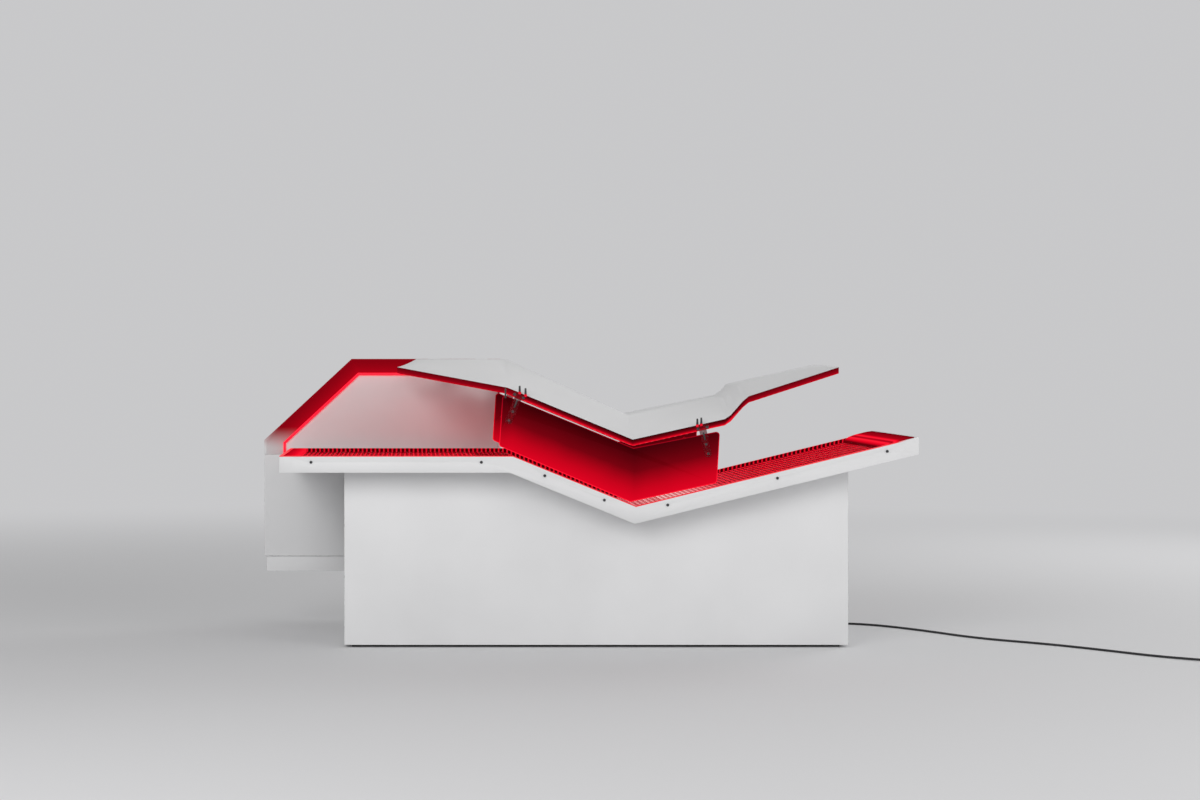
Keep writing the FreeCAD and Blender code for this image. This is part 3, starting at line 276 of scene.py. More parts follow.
lamp("key_lamp", (-3.2, -6.5, 3.2), (0.0, 0.0, 0.5), 180.0)
lamp("fill_lamp", (4.5, -5.0, 2.6), (0.2, 0.0, 0.5), 90.0)
lamp("rear_lamp", (4.8, 4.8, 3.4), (0.0, 0.0, 0.6), 105.0)

bpy.ops.mesh.primitive_circle_add(vertices=96, radius=floor_radius, fill_type="NGON", location=(0, 0, 0))
floor = bpy.context.object
floor.name = "studio_floor"
floor_paint = new_finish("pale_floor", (0.72, 0.72, 0.73), 0.75)
away = add_node(floor_paint, "ShaderNodeVectorMath", {0: object_place(floor_paint)})
away.operation = "LENGTH"
fade = remap(floor_paint, away.outputs["Value"], fade_from, fade_to, smooth=True)
fade = sum_of(floor_paint, "MULTIPLY", fade, light_path(floor_paint)["Is Camera Ray"])
far = backdrop(floor_paint, "ShaderNodeEmission")
end_mixed(floor_paint, "Material Output", fade, shader_of(floor_paint).outputs[0], far)
floor.data.materials.append(floor_paint)
floor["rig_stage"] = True
print("floor and lamps are in place")

# %% [markdown]
# ## White and red
# The bodywork is white: painted board below, satin mouldings above, and a matte sheet in the tower. Edges get
# a finish of their own, a little more worn. What the light of the LEDs falls on is red plastic with painted
# light: an emission gradient, measured from the line of the deck, stands in for the light that falls on it.

# %% White finishes
board_paint = coat(
    "board_paint",
    dark=(0.75, 0.75, 0.755),
    light=(0.81, 0.81, 0.815),
    scale=2.2,
    rough=(0.42, 0.55),
    grain=(160.0, 3.0, 0.08, 0.0005),
)
moulding = coat(
    "white_moulding",
    dark=(0.77, 0.77, 0.775),
    light=(0.82, 0.82, 0.825),
    scale=2.6,
    rough=(0.46, 0.56),
    grain=(900.0, 1.0, 0.08, 0.0002),
    specular=0.25,
)
matte_sheet = coat(
    "matte_sheet",
    dark=(0.74, 0.74, 0.745),
    light=(0.8, 0.8, 0.805),
    scale=3.4,
    rough=(0.62, 0.78),
    grain=(600.0, 2.0, 0.1, 0.0003),
    specular=0.2,
)
rubbed_edge = coat("rubbed_edge", (0.62, 0.62, 0.62), (0.82, 0.82, 0.82), scale=45.0, rough=(0.22, 0.4))
print("white finishes made")

# %% Red light helpers
mid_red = (0.33, 0.0008, 0.006)
lamp_red = (0.72, 0.0015, 0.014)
hot_red = (1.0, 0.012, 0.035)
pale_hot = (1.0, 0.42, 0.45)

seat_x = 0.127
seat_z = 0.501
seat_drop = 0.173
thigh_run = 0.423
head_rise = 0.238
back_run = 0.973
thigh_slope = -seat_drop / thigh_run
back_slope = head_rise / back_run


def lamp_or_painted_light(name, base, value, *stops, roughness=0.5):
    """Emission that follows value through the stops: own light on lamp faces, painted light on every other
    part.
    """
    made = new_finish(name, base, roughness, specular=0.0)
    feed(made, colours(made, value(made), *stops), "Emission Color")
    shader_of(made).inputs["Emission Strength"].default_value = 1.0
    bump(made, noise(made, 700.0, 2.0), 0.06, 0.0003)
    return made


def above_deck(made):
    """Height above the deck's line: flat at the foot, then down to the seat and up to the head."""
    here = place_parts(made)
    run = sum_of(made, "SUBTRACT", here["X"], seat_x)
    thigh = sum_of(made, "MINIMUM", sum_of(made, "MULTIPLY", run, thigh_slope), seat_drop)
    back = sum_of(made, "MULTIPLY", run, back_slope)
    deck = sum_of(made, "ADD", sum_of(made, "MAXIMUM", thigh, back), seat_z)
    return sum_of(made, "SUBTRACT", here["Z"], deck)


# %% Light on the shields
shield_height = 0.18
shield_ripple = 0.02


def shield_share(made):
    """How far up the shield, with a slow ripple."""
    ripple = sum_of(made, "MULTIPLY", noise(made, 6.0), shield_ripple)
    rise = sum_of(made, "ADD", above_deck(made), ripple)
    return remap(made, rise, 0.0, shield_height + shield_ripple)


# Painted light on the shields: red emission, bright at the bottom, where the deck's light falls, and dark at
# the top.
frosted_sheet_painted_light = lamp_or_painted_light(
    "frosted_acrylic",
    (0.1, 0.001, 0.004),
    shield_share,
    (0.0, (0.78, 0.001, 0.016)),
    (0.3, (0.52, 0.0008, 0.01)),
    (0.62, (0.16, 0.0006, 0.004)),
    (1.0, (0.05, 0.0004, 0.002)),
)
# Painted light and shade in the base colour too: lighter at the bottom of the shield and darker towards the
# top.
shield_painted_light_base = colours(
    frosted_sheet_painted_light,
    shield_share(frosted_sheet_painted_light),
    (0.0, (0.08, 0.0006, 0.003)),
    (0.8, (0.012, 0.0005, 0.001)),
)
feed(frosted_sheet_painted_light, shield_painted_light_base, "Base Color")
# Painted light on the shields' cut edges: brightest at the bottom, dark red at the top.
lit_edge = lamp_or_painted_light(
    "lit_edge",
    (0.12, 0.002, 0.006),
    shield_share,
    (0.0, hot_red),
    (0.55, lamp_red),
    (1.0, (0.2, 0.0006, 0.005)),
)
print("red finishes made")

# %% [markdown]
# ## Softening the CAD solids
# Real sheet metal, board and mouldings have no razor edges: a small round catches the light. The plain way is
# to merge a copy of the CAD mesh, dissolve the flat triangles and bevel the sharp edges. The bevel puts its
# faces in the second material slot, so that a rubbed edge or a painted lit edge needs no extra selecting.

# %% Helpers for pieces
merge_reach = 0.00002
flat_angle = math.radians(1.0)


def only(piece):
    if bpy.context.mode != "OBJECT":
        bpy.ops.object.mode_set(mode="OBJECT")
    bpy.ops.object.select_all(action="DESELECT")
    piece.select_set(True)
    bpy.context.view_layer.objects.active = piece


def mount(piece, body, *nodes, slot=None):
    """Rides on the body and stands for the nodes; slot is not used."""
    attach(piece, body)
    if nodes:
        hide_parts(*nodes)


def bevel(piece, width, segments=2, angle=40.0, smooth=35.0, slot=-1):
    """Rounds the edges that are sharper than the angle, in that material slot or, at -1, the faces' own."""
    rounds = piece.modifiers.new("rounds", "BEVEL")
    rounds.width = width
    rounds.segments = segments
    rounds.limit_method = "ANGLE"
    rounds.angle_limit = math.radians(angle)
    rounds.material = slot
    bpy.ops.object.modifier_apply(modifier="rounds")
    bpy.ops.object.shade_smooth_by_angle(angle=math.radians(smooth))


def cad_copy(name, node):
    """A merged copy of a CAD node, left in edit mode with everything selected."""
    piece = bpy.data.objects.new(name, frame["nodes"][node].data.copy())
    scene.collection.objects.link(piece)
    only(piece)
    bpy.ops.mesh.customdata_custom_splitnormals_clear()
    bpy.ops.object.mode_set(mode="EDIT")
    bpy.ops.mesh.select_all(action="SELECT")
    bpy.ops.mesh.remove_doubles(threshold=merge_reach)
    return piece


def softened(name, node, width, made, edge=None, segments=2, angle=35.0):
    """A CAD node with rounded edges, which may have a finish of their own."""
    piece = cad_copy(name, node)
    bpy.ops.mesh.dissolve_limited(angle_limit=flat_angle)
    bpy.ops.object.mode_set(mode="OBJECT")
    piece.data.materials.clear()
    for finish in (made, edge or made):
        piece.data.materials.append(finish)
    for face in piece.data.polygons:
        face.material_index = 0
    bevel(piece, width, segments, angle, smooth=30.0, slot=1)
    mount(piece, frame["nodes"][node]["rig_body"], node)
    return piece


def pick(piece, wanted):
    """Enters edit mode with only the wanted faces selected."""
    bpy.ops.object.mode_set(mode="EDIT")
    bpy.ops.mesh.select_mode(type="FACE")
    bpy.ops.mesh.select_all(action="DESELECT")
    bpy.ops.object.mode_set(mode="OBJECT")
    for face in piece.data.polygons:
        face.select = wanted(face)
    bpy.ops.object.mode_set(mode="EDIT")


def faces_up(face):
    return face.normal.z > 0.9


def repaint(piece, made, wanted):
    """Gives the wanted faces one more finish, and counts them."""
    piece.data.materials.append(made)
    found = [face for face in piece.data.polygons if wanted(face)]
    for face in found:
        face.material_index = len(piece.data.materials) - 1
    return len(found)


# %% White pieces
white_pieces = [
    ("front_board", "base_front_panel", 0.0015, board_paint),
    ("rear_board", "base_rear_panel", 0.0012, board_paint),
    ("left_board", "base_left_panel", 0.0015, board_paint),
    ("right_board", "base_right_panel", 0.0015, board_paint),
    ("tower_skin", "tower_shell", 0.003, moulding),
    ("tower_back", "tower_rear_cover", 0.0015, moulding),
    ("tower_foot", "tower_skirt", 0.0012, moulding),
    ("tower_inset", "tower_front_panel", 0.0012, matte_sheet),
    ("canopy_skin", "canopy_shell", 0.002, moulding),
]
for name, node, width, made in white_pieces:
    piece = softened(name, node, width, made, rubbed_edge)
    print(name, len(piece.data.polygons), "faces")

# %% [markdown]
# ## Shields
# The shields are frosted sheets lit from the deck: bright along the bottom, dark at the top, with cut edges
# that carry the light. The gradient is worked out from the deck's two slopes, so it follows the V.

# %% Shields
lit_border = 0.003
for name, node in (("near_shield", "front_shield"), ("far_shield", "rear_shield")):
    piece = softened(name, node, 0.0012, frosted_sheet_painted_light, lit_edge, angle=50.0)
    pick(piece, lambda face: abs(face.normal.y) > 0.99)
    bpy.ops.mesh.inset(thickness=lit_border)
    bpy.ops.mesh.select_all(action="INVERT")
    bpy.ops.object.mode_set(mode="OBJECT")
    for face in piece.data.polygons:
        face.material_index = int(face.select)
    print(name, len(piece.data.polygons), "faces")

# %% [markdown]
# ## Deck tray
# The folded tray is white, but the light of the field runs over the round top of its rails as a thin red
# line. That line is painted light: an emission gradient over the top few millimetres, measured from the deck,
# and the white base colour turns dark red under it.

# %% Deck tray
spill_depth = 0.0045
spill_top = -0.001
head_fade_from = 1.01
head_fade_to = 1.07

tray_paint_and_painted_light = new_finish("tray_paint_and_painted_light", (0.8, 0.8, 0.8), 0.4, specular=0.3)
feed(tray_paint_and_painted_light, spread(tray_paint_and_painted_light, noise(tray_paint_and_painted_light, 12.0), 0.36, 0.48), "Roughness")
bump(tray_paint_and_painted_light, noise(tray_paint_and_painted_light, 420.0, 2.0), 0.12, 0.0004)
# Painted light: a thin red line of emission over the top of the rails, fading out towards the head.
spill = remap(tray_paint_and_painted_light, above_deck(tray_paint_and_painted_light), -spill_depth, spill_top, smooth=True)
along = place_parts(tray_paint_and_painted_light)["X"]
head_fade = remap(tray_paint_and_painted_light, along, head_fade_from, head_fade_to, 1.0, 0.0, smooth=True)
spill = sum_of(tray_paint_and_painted_light, "MULTIPLY", spill, head_fade)
feed(tray_paint_and_painted_light, colours(tray_paint_and_painted_light, spill, (0.0, (0.0, 0.0, 0.0)), (1.0, lamp_red)), "Emission Color")
drift = spread(tray_paint_and_painted_light, noise(tray_paint_and_painted_light, 3.0), 0.0, 0.12)
# Painted light in the base colour: white with a random drift of tone, turning dark red under the red line.
spill_painted_base = colours(
    tray_paint_and_painted_light,
    sum_of(tray_paint_and_painted_light, "ADD", spill, drift),
    (0.0, (0.82, 0.82, 0.825)),
    (0.12, (0.77, 0.77, 0.775)),
    (0.85, (0.25, 0.002, 0.008)),
)
feed(tray_paint_and_painted_light, spill_painted_base, "Base Color")
shader_of(tray_paint_and_painted_light).inputs["Emission Strength"].default_value = 1.0
tray = softened("tray_body", "deck_tray", 0.0015, tray_paint_and_painted_light)
print("tray", len(tray.data.polygons), "faces")

# %% [markdown]
# ## LED field
# Under the clear cover lies a lattice of small square cells with a lens in each. A lattice could be cut cell
# by cell, but a grid primitive whose faces are all inset, emptied and given a depth is one operation for
# thousands of cells. One lens is modelled and repeated by two arrays along the slope and across it.

# %% LED field helpers
cell_pitch = 0.016
bar_width = 0.006
lattice_depth = 0.010
lens_radius = 0.0026
lens_gap = 0.0006
lens_sides = 6
dome_share = 0.3
dome_top = 0.5


def cells_of(node, slope):
    """A sloping CAD slab's start, end and top along its slope, its half width, and its cells both ways."""
    cos, sin = math.cos(slope), math.sin(slope)
    corners = [v.co for v in frame["nodes"][node].data.vertices]
    rises = [c.z * cos - c.x * sin for c in corners]
    middle = (min(rises) + max(rises)) / 2
    upper = [c.x * cos + c.z * sin for c, rise in zip(corners, rises) if rise > middle]
    lower = [c.x * cos + c.z * sin for c, rise in zip(corners, rises) if rise < middle]
    start = max(min(upper), min(lower))
    end = min(max(upper), max(lower))
    half = max(c.y for c in corners)
    return start, end, max(rises), half, round((end - start) / cell_pitch), round(2 * half / cell_pitch)


def on_slope(slope, run, rise):
    cos, sin = math.cos(slope), math.sin(slope)
    return (run * cos - rise * sin, 0.0, run * sin + rise * cos)


def lattice(name, node, slope, cells, top_finish, wall_finish):
    start, end, top, half, along, across = cells
    bpy.ops.object.select_all(action="DESELECT")
    bpy.ops.mesh.primitive_grid_add(
        x_subdivisions=along,
        y_subdivisions=across,
        size=1.0,
        location=on_slope(slope, (start + end) / 2, top),
        rotation=(0, -slope, 0),
    )
    piece = bpy.context.object
    piece.name = name
    piece.scale = (end - start, 2 * half, 1.0)
    bpy.ops.object.transform_apply()
    bpy.ops.object.mode_set(mode="EDIT")
    bpy.ops.mesh.select_all(action="SELECT")
    bpy.ops.mesh.inset(thickness=bar_width / 2, use_individual=True)
    bpy.ops.mesh.delete(type="FACE")
    bpy.ops.object.mode_set(mode="OBJECT")
    for made in (top_finish, wall_finish):
        piece.data.materials.append(made)
    depth = piece.modifiers.new("depth", "SOLIDIFY")
    depth.thickness = lattice_depth
    depth.offset = -1.0
    depth.material_offset_rim = 1
    bpy.ops.object.modifier_apply(modifier="depth")
    mount(piece, "bed", node)


def lenses(name, slope, cells, made):
    start, end, top, half, along, across = cells
    step = (end - start) / along
    row = 2 * half / across
    height = lattice_depth - lens_gap
    dome = dome_share * height
    body = height - dome
    first = on_slope(slope, start + step / 2, top - lattice_depth + body / 2)
    bpy.ops.object.select_all(action="DESELECT")
    bpy.ops.mesh.primitive_cylinder_add(
        vertices=lens_sides,
        radius=lens_radius,
        depth=body,
        location=(0, 0, 0),
    )
    piece = bpy.context.object
    piece.name = name
    pick(piece, faces_up)
    bpy.ops.mesh.extrude_region_move(TRANSFORM_OT_translate={"value": (0, 0, dome)})
    bpy.ops.transform.resize(value=(dome_top, dome_top, 1.0))
    bpy.ops.object.mode_set(mode="OBJECT")
    bpy.ops.object.shade_smooth_by_angle(angle=math.radians(70))
    piece.rotation_euler = (0, -slope, 0)
    piece.location = (first[0], -half + row / 2, first[2])
    bpy.ops.object.transform_apply()
    for title, count, shift in (
        ("along", along, (step * math.cos(slope), 0, step * math.sin(slope))),
        ("across", across, (0, row, 0)),
    ):
        repeat = piece.modifiers.new(title, "ARRAY")
        repeat.count = count
        repeat.use_relative_offset = False
        repeat.use_constant_offset = True
        repeat.constant_offset_displace = shift
        bpy.ops.object.modifier_apply(modifier=title)
    piece.data.materials.append(made)
    mount(piece, "bed", slot="led_board")
    return piece


# %% Light of the LED field
brightest_x = seat_x + 0.12


def from_seat(made):
    """Distance along the bed from the brightest place, which is just behind the seat's bend."""
    return sum_of(made, "ABSOLUTE", sum_of(made, "SUBTRACT", place_parts(made)["X"], brightest_x))


# Painted light on the bars: red emission, with a pale painted highlight near the brightest place behind the
# seat.
bars = lamp_or_painted_light(
    "lit_bars",
    (0.12, 0.002, 0.005),
    from_seat,
    (0.0, (1.0, 0.62, 0.6)),
    (0.09, (1.0, 0.42, 0.44)),
    (0.2, (1.0, 0.03, 0.06)),
    (0.35, (0.9, 0.008, 0.026)),
    (1.0, (0.85, 0.006, 0.022)),
)
feed(bars, spread(bars, noise(bars, 24.0), 0.7, 1.0), "Emission Strength")
# Painted light on the cell walls: red near the brightest place, dark further away.
cell_walls = lamp_or_painted_light(
    "cell_walls",
    (0.02, 0.0004, 0.001),
    from_seat,
    (0.0, (0.5, 0.004, 0.014)),
    (0.13, (0.4, 0.002, 0.01)),
    (0.2, (0.04, 0.0003, 0.0015)),
    (1.0, (0.03, 0.0003, 0.001)),
)
lens_light = lamp_or_painted_light(
    "lens_light",
    (0.4, 0.02, 0.03),
    from_seat,
    (0.0, pale_hot),
    (0.22, (1.0, 0.12, 0.16)),
    (0.5, hot_red),
    (1.0, lamp_red),
    roughness=0.2,
)
for made in (bars, cell_walls, lens_light):
    made.cycles.emission_sampling = "NONE"
print("field finishes made")

# %% LED field
deck_slopes = {"foot": 0.0, "thigh": math.atan(thigh_slope), "back": math.atan(back_slope)}
for part, slope in deck_slopes.items():
    node = "deck_grid_" + part
    cells = cells_of(node, slope)
    lattice(part + "_lattice", node, slope, cells, bars, cell_walls)
    dots = lenses(part + "_lenses", slope, cells, lens_light)
    print(part, cells[-2], "by", cells[-1], "cells,", len(dots.data.polygons), "lens faces")

# %% [markdown]
# ## Light on the tray's walls
# The bright bars throw strokes of light on the inner walls of the tray, one for each bar. They could be small
# faces, but a pattern along the bed with the bars' own step does it without any, and it needs only the wall's
# faces to be picked by their normals.

# %% Light on the tray's walls
foot_cells = cells_of("deck_grid_foot", deck_slopes["foot"])
foot_start = foot_cells[0]
foot_step = (foot_cells[1] - foot_start) / foot_cells[-2]
stroke_from = 0.28
stroke_to = 0.36


def strokes(made):
    """1 where a bar meets the wall, 0 between two bars."""
    run = sum_of(made, "SUBTRACT", place_parts(made)["X"], foot_start)
    turn = sum_of(made, "DIVIDE", run, foot_step)
    off = sum_of(made, "SUBTRACT", sum_of(made, "FRACT", turn), 0.5)
    return remap(made, sum_of(made, "ABSOLUTE", off), stroke_from, stroke_to)


def faces_middle(face):
    """True for an upright face that looks at the middle of the bed."""
    return face.normal.y * face.center.y < -0.9 * abs(face.center.y)


wall_strokes = lamp_or_painted_light(
    "wall_strokes",
    (0.03, 0.0005, 0.001),
    strokes,
    (0.0, (0.03, 0.0003, 0.001)),
    (1.0, (0.75, 0.004, 0.018)),
)
wall_strokes.cycles.emission_sampling = "NONE"
print("wall faces", repaint(tray, wall_strokes, faces_middle))

# %% [markdown]
# ## Clear cover
# The cover is a clear acrylic sheet. Seen nearly edge-on, true glass would mirror the pale room and hide the
# lattice, so the sheet is mostly see-through, with a faint gloss and a touch of red.

# %% Clear cover
clear_sheet = new_finish("clear_sheet", (0.3, 0.02, 0.03), 0.12, specular=0.3)
feed(clear_sheet, spread(clear_sheet, noise(clear_sheet, 18.0), 0.015, 0.03), "Alpha")
feed(clear_sheet, spread(clear_sheet, noise(clear_sheet, 60.0), 0.08, 0.2), "Roughness")
cover = softened("clear_top", "deck_cover", 0.0008, clear_sheet)
print("cover", len(cover.data.polygons), "faces")

# %% [markdown]
# ## Lips at the two ends
# Both ends close with a red-lit moulding: a flat one at the feet, and a low pillow at the head. A wide bevel
# turns the pillow's few faces into one soft roll. Their red is painted light, which gathers in a band and
# fades towards the outer end.

# %% End lips
foot_dim_x = -1.09
foot_bright_x = -1.03
pillow_start = 0.95
pillow_end = 1.095

# Painted light on the foot lip: brighter towards the bed, dimmer at its outer end.
foot_painted_light = lamp_or_painted_light(
    "foot_painted_light",
    (0.12, 0.001, 0.005),
    lambda made: remap(made, place_parts(made)["X"], foot_dim_x, foot_bright_x),
    (0.0, mid_red),
    (0.6, lamp_red),
    (1.0, hot_red),
)
# Painted light on the head pillow: two bright bands, fading to dark towards the outer end.
head_painted_light = lamp_or_painted_light(
    "head_painted_light",
    (0.1, 0.001, 0.004),
    lambda made: remap(made, place_parts(made)["X"], pillow_start, pillow_end),
    (0.0, (0.12, 0.0005, 0.003)),
    (0.2, (0.07, 0.0004, 0.002)),
    (0.26, lamp_red),
    (0.32, hot_red),
    (0.38, (0.4, 0.0009, 0.008)),
    (0.42, (0.4, 0.0009, 0.008)),
    (0.47, hot_red),
    (0.54, lamp_red),
    (0.6, mid_red),
    (0.8, (0.17, 0.0006, 0.004)),
    (1.0, (0.04, 0.0003, 0.001)),
)
softened("foot_moulding", "foot_lip", 0.004, foot_painted_light, segments=3)
pillow = softened("head_pillow", "head_lip", 0.006, head_painted_light, segments=4, angle=3.0)
print("pillow", len(pillow.data.polygons), "faces")

# %% [markdown]
# ## Canopy liner
# The liner is a red-lit pan under the white shell. Its lip carries painted light from a bright lower edge up
# to dark, and its underside shows the lamps behind it as rows of soft dots. A small attribute says how far up
# the lip each point is, since the lip's line goes up and down along the bed.

# %% Line of the lip
lip_height = 0.022
lip_line = [
    (-0.700, 0.958),
    (-0.312, 0.886),
    (0.122, 0.706),
    (0.441, 0.777),
    (0.462, 0.791),
    (0.484, 0.816),
    (0.504, 0.839),
    (0.524, 0.856),
    (0.820, 0.9515),
    (0.837, 0.957),
]


def lip_at(x):
    for (x1, z1), (x2, z2) in zip(lip_line, lip_line[1:]):
        if x <= x2:
            return z1 + (z2 - z1) * (x - x1) / (x2 - x1)
    return lip_line[-1][1]


# %% Light on the liner
shields_middle = 0.115
even_from = 0.33
even_to = 0.41
even_slope = -0.62
even_lift = 0.22
dot_pitch = 0.02
dot_core = 0.12
dot_rim = 0.42


def lip_share(made):
    """How far up the lip, flatter past the shields' ends, where the lip is lit more evenly."""
    node = add_node(made, "ShaderNodeAttribute", {})
    node.attribute_name = "rise"
    share = node.outputs["Fac"]
    away = sum_of(made, "ABSOLUTE", sum_of(made, "SUBTRACT", place_parts(made)["X"], shields_middle))
    even = remap(made, away, even_from, even_to, smooth=True)
    shift = sum_of(made, "ADD", sum_of(made, "MULTIPLY", share, even_slope), even_lift)
    return sum_of(made, "ADD", share, sum_of(made, "MULTIPLY", even, shift))


def lamp_dots(made):
    """1 in the middle of each lamp dot, 0 between the dots."""
    here = place_parts(made)
    squares = []
    for line in (here["X"], here["Y"]):
        cell = sum_of(made, "FRACT", sum_of(made, "DIVIDE", line, dot_pitch))
        off = sum_of(made, "SUBTRACT", cell, 0.5)
        squares.append(sum_of(made, "MULTIPLY", off, off))
    reach = sum_of(made, "SQRT", sum_of(made, "ADD", *squares))
    return remap(made, reach, dot_core, dot_rim, 1.0, 0.0, smooth=True)


# Painted light on the lip: bright at its lower edge, dark at its top.
lip_painted_light = lamp_or_painted_light(
    "lip_painted_light",
    (0.025, 0.0005, 0.001),
    lip_share,
    (0.0, hot_red),
    (0.14, lamp_red),
    (0.36, (0.24, 0.0007, 0.006)),
    (0.6, (0.09, 0.0005, 0.003)),
    (1.0, (0.012, 0.0003, 0.001)),
)
under_glow = lamp_or_painted_light(
    "under_glow",
    (0.1, 0.001, 0.004),
    lamp_dots,
    (0.0, (0.3, 0.0008, 0.006)),
    (0.6, lamp_red),
    (1.0, (1.0, 0.14, 0.17)),
)
print("liner finishes made")

# %% Canopy liner
liner = softened("liner_pan", "canopy_liner", 0.0015, lip_painted_light)
rise = liner.data.attributes.new("rise", "FLOAT", "POINT")
for n, spot in enumerate(liner.data.vertices):
    rise.data[n].value = (spot.co.z - lip_at(spot.co.x)) / lip_height
under = repaint(liner, under_glow, lambda face: face.normal.z < -0.6)
print("liner", len(liner.data.polygons), "faces,", under, "of them below")

# %% [markdown]
# ## Tower frame
# A sloping frame leans back from the tower's skin to the inset panel and catches the light of a bright line
# at its foot, so it is brightest deep inside and darker at its front edge. At its lowest corner the red gives
# way to the white of the skin.

# %% Tower frame
frame_front = 0.421
frame_depth = 0.04
white_below = 0.665
lit_above = 0.755


def frame_lit(made):
    """1 where the frame is lit, 0 at its lowest corner, which stays white."""
    return remap(made, place_parts(made)["Z"], white_below, lit_above, smooth=True)


def frame_share(made):
    """How deep inside the frame."""
    return remap(made, place_parts(made)["Y"], frame_front, frame_front + frame_depth)


# Painted light on the frame: red emission, brightest deep inside and switched off at its lowest corner.
frame_painted_light = lamp_or_painted_light(
    "frame_painted_light",
    (0.3, 0.004, 0.01),
    frame_share,
    (0.0, (0.17, 0.0006, 0.004)),
    (0.5, (0.24, 0.0007, 0.005)),
    (0.93, (0.33, 0.0008, 0.007)),
    (1.0, lamp_red),
)
feed(frame_painted_light, frame_lit(frame_painted_light), "Emission Strength")
# Painted light in the base colour: dark red where the frame is lit, white at its lowest corner.
frame_painted_light_base = colours(
    frame_painted_light,
    frame_lit(frame_painted_light),
    (0.0, (0.78, 0.78, 0.785)),
    (1.0, (0.1, 0.001, 0.004)),
)
feed(frame_painted_light, frame_painted_light_base, "Base Color")
line_glow = lamp_or_painted_light(
    "line_glow",
    (0.5, 0.01, 0.02),
    lambda made: noise(made, 12.0),
    (noise_low, hot_red),
    (noise_high, (1.0, 0.03, 0.06)),
)
tower_frame = softened("tower_frame", "tower_bezel", 0.0012, frame_painted_light)
softened("tower_line", "tower_light_line", 0.0008, line_glow)
print("tower frame", len(tower_frame.data.polygons), "faces")

# %% [markdown]
# ## Power cord
# The cord is one round flexible lead. It leaves the gland at the rear, drops to the floor and runs off to the
# right, where its spare length lies in a tied coil. A single smooth spline carries the whole way, because a
# lead has no corners, and the coil's turns are more points of the same spline.

# %% Route of the cord
cord_radius = 0.004
cord_route = [
    (0.780, 0.290, 0.090),
    (0.780, 0.340, 0.090),
    (0.786, 0.388, 0.072),
    (0.802, 0.432, 0.044),
    (0.832, 0.474, 0.018),
    (0.888, 0.501, 0.005),
    (0.965, 0.507, 0.004),
    (1.043, 0.487, 0.004),
    (1.114, 0.435, 0.004),
    (1.176, 0.361, 0.004),
    (1.234, 0.275, 0.004),
    (1.288, 0.182, 0.004),
    (1.339, 0.087, 0.004),
    (1.396, 0.000, 0.004),
    (1.463, -0.075, 0.004),
    (1.537, -0.142, 0.004),
    (1.609, -0.214, 0.004),
    (1.677, -0.295, 0.004),
    (1.743, -0.383, 0.004),
    (1.806, -0.473, 0.004),
    (1.870, -0.560, 0.0042),
    (1.941, -0.636, 0.005),
    (2.020, -0.700, 0.005),
]
coil_radius = 0.0552
coil_step = 0.0043
coil_low = 0.005
coil_high = 0.0136
points_per_half = 8
cord_tail = 0.06
cord_lead_in = 0.008

coil_points = []
x = coil_radius
side = 1
layers = [(n, coil_low, coil_low) for n in range(4)]
layers += [(4, coil_low, coil_high)]
layers += [(n, coil_high, coil_high) for n in (3, 2, 1)]
for n, z_from, z_to in layers:
    radius = coil_radius - n * coil_step
    reach = radius / math.cos(math.pi / (2 * points_per_half))
    for k in range(points_per_half):
        share = (k + 0.5) / points_per_half
        angle = share * math.pi
        coil_points.append(
            (
                x - side * radius + side * reach * math.cos(angle),
                side * reach * math.sin(angle),
                z_from + (z_to - z_from) * share,
            )
        )
    x = x - 2 * side * radius
    side = -side
coil_points.append((x, cord_tail / 2, coil_high))
coil_points.append((x, cord_tail, coil_high))

last, before = cord_route[-1], cord_route[-2]
swing = math.atan2(last[1] - before[1], last[0] - before[0]) - math.pi / 2
for x, y, z in coil_points:
    across = x - coil_radius
    along = y + cord_lead_in
    cord_route.append(
        (
            last[0] + across * math.cos(swing) - along * math.sin(swing),
            last[1] + across * math.sin(swing) + along * math.cos(swing),
            z,
        )
    )
print("cord points", len(cord_route))

# %% Power cord
plug_face = 0.0605

lead_curve = bpy.data.curves.new("power_lead", "CURVE")
lead_curve.dimensions = "3D"
lead_curve.bevel_depth = cord_radius
lead_curve.bevel_resolution = 4
lead_curve.resolution_u = 8
lead_curve.use_fill_caps = True
spline = lead_curve.splines.new("NURBS")
spline.points.add(len(cord_route) - 1)
for spot, (x, y, z) in zip(spline.points, cord_route):
    spot.co = (x, y, z, 1.0)
spline.order_u = 3
spline.use_endpoint_u = True
lead = bpy.data.objects.new("power_lead", lead_curve)
scene.collection.objects.link(lead)

rubber = coat(
    "cord_rubber",
    dark=(0.010, 0.010, 0.011),
    light=(0.018, 0.018, 0.02),
    scale=60.0,
    rough=(0.42, 0.6),
    grain=(900.0, 2.0, 0.15, 0.0002),
)
lead_curve.materials.append(rubber)
mount(lead, "bed", "power_cord", "power_cord_coil")

brass = coat("pin_brass", (0.5, 0.35, 0.15), (0.68, 0.5, 0.24), 150.0, rough=(0.22, 0.42), metallic=1.0)
plug = softened("mains_plug", "power_plug", 0.0005, rubber)
cord_end = Vector(cord_route[-1])
arrival = (cord_end - Vector(cord_route[-2])).normalized()
pins = repaint(plug, brass, lambda face: (face.center - cord_end).dot(arrival) > plug_face)
strap = softened("coil_strap", "cord_tie", 0.0003, rubber)
print("plug", len(plug.data.polygons), "faces,", pins, "on the pins")

# %% [markdown]
# ## Screws and bolts
# The heads are small, but their shadows show how the bed is put together. One head starts as a cylinder: the
# top is inset and pushed in for the key, and the rim is bevelled. Where the heads sit is read from the CAD
# solids, by taking a copy of the node apart into its loose bodies.

# %% Screw helpers
hexagon = 6
rim_share = 0.25
socket_share = 0.6


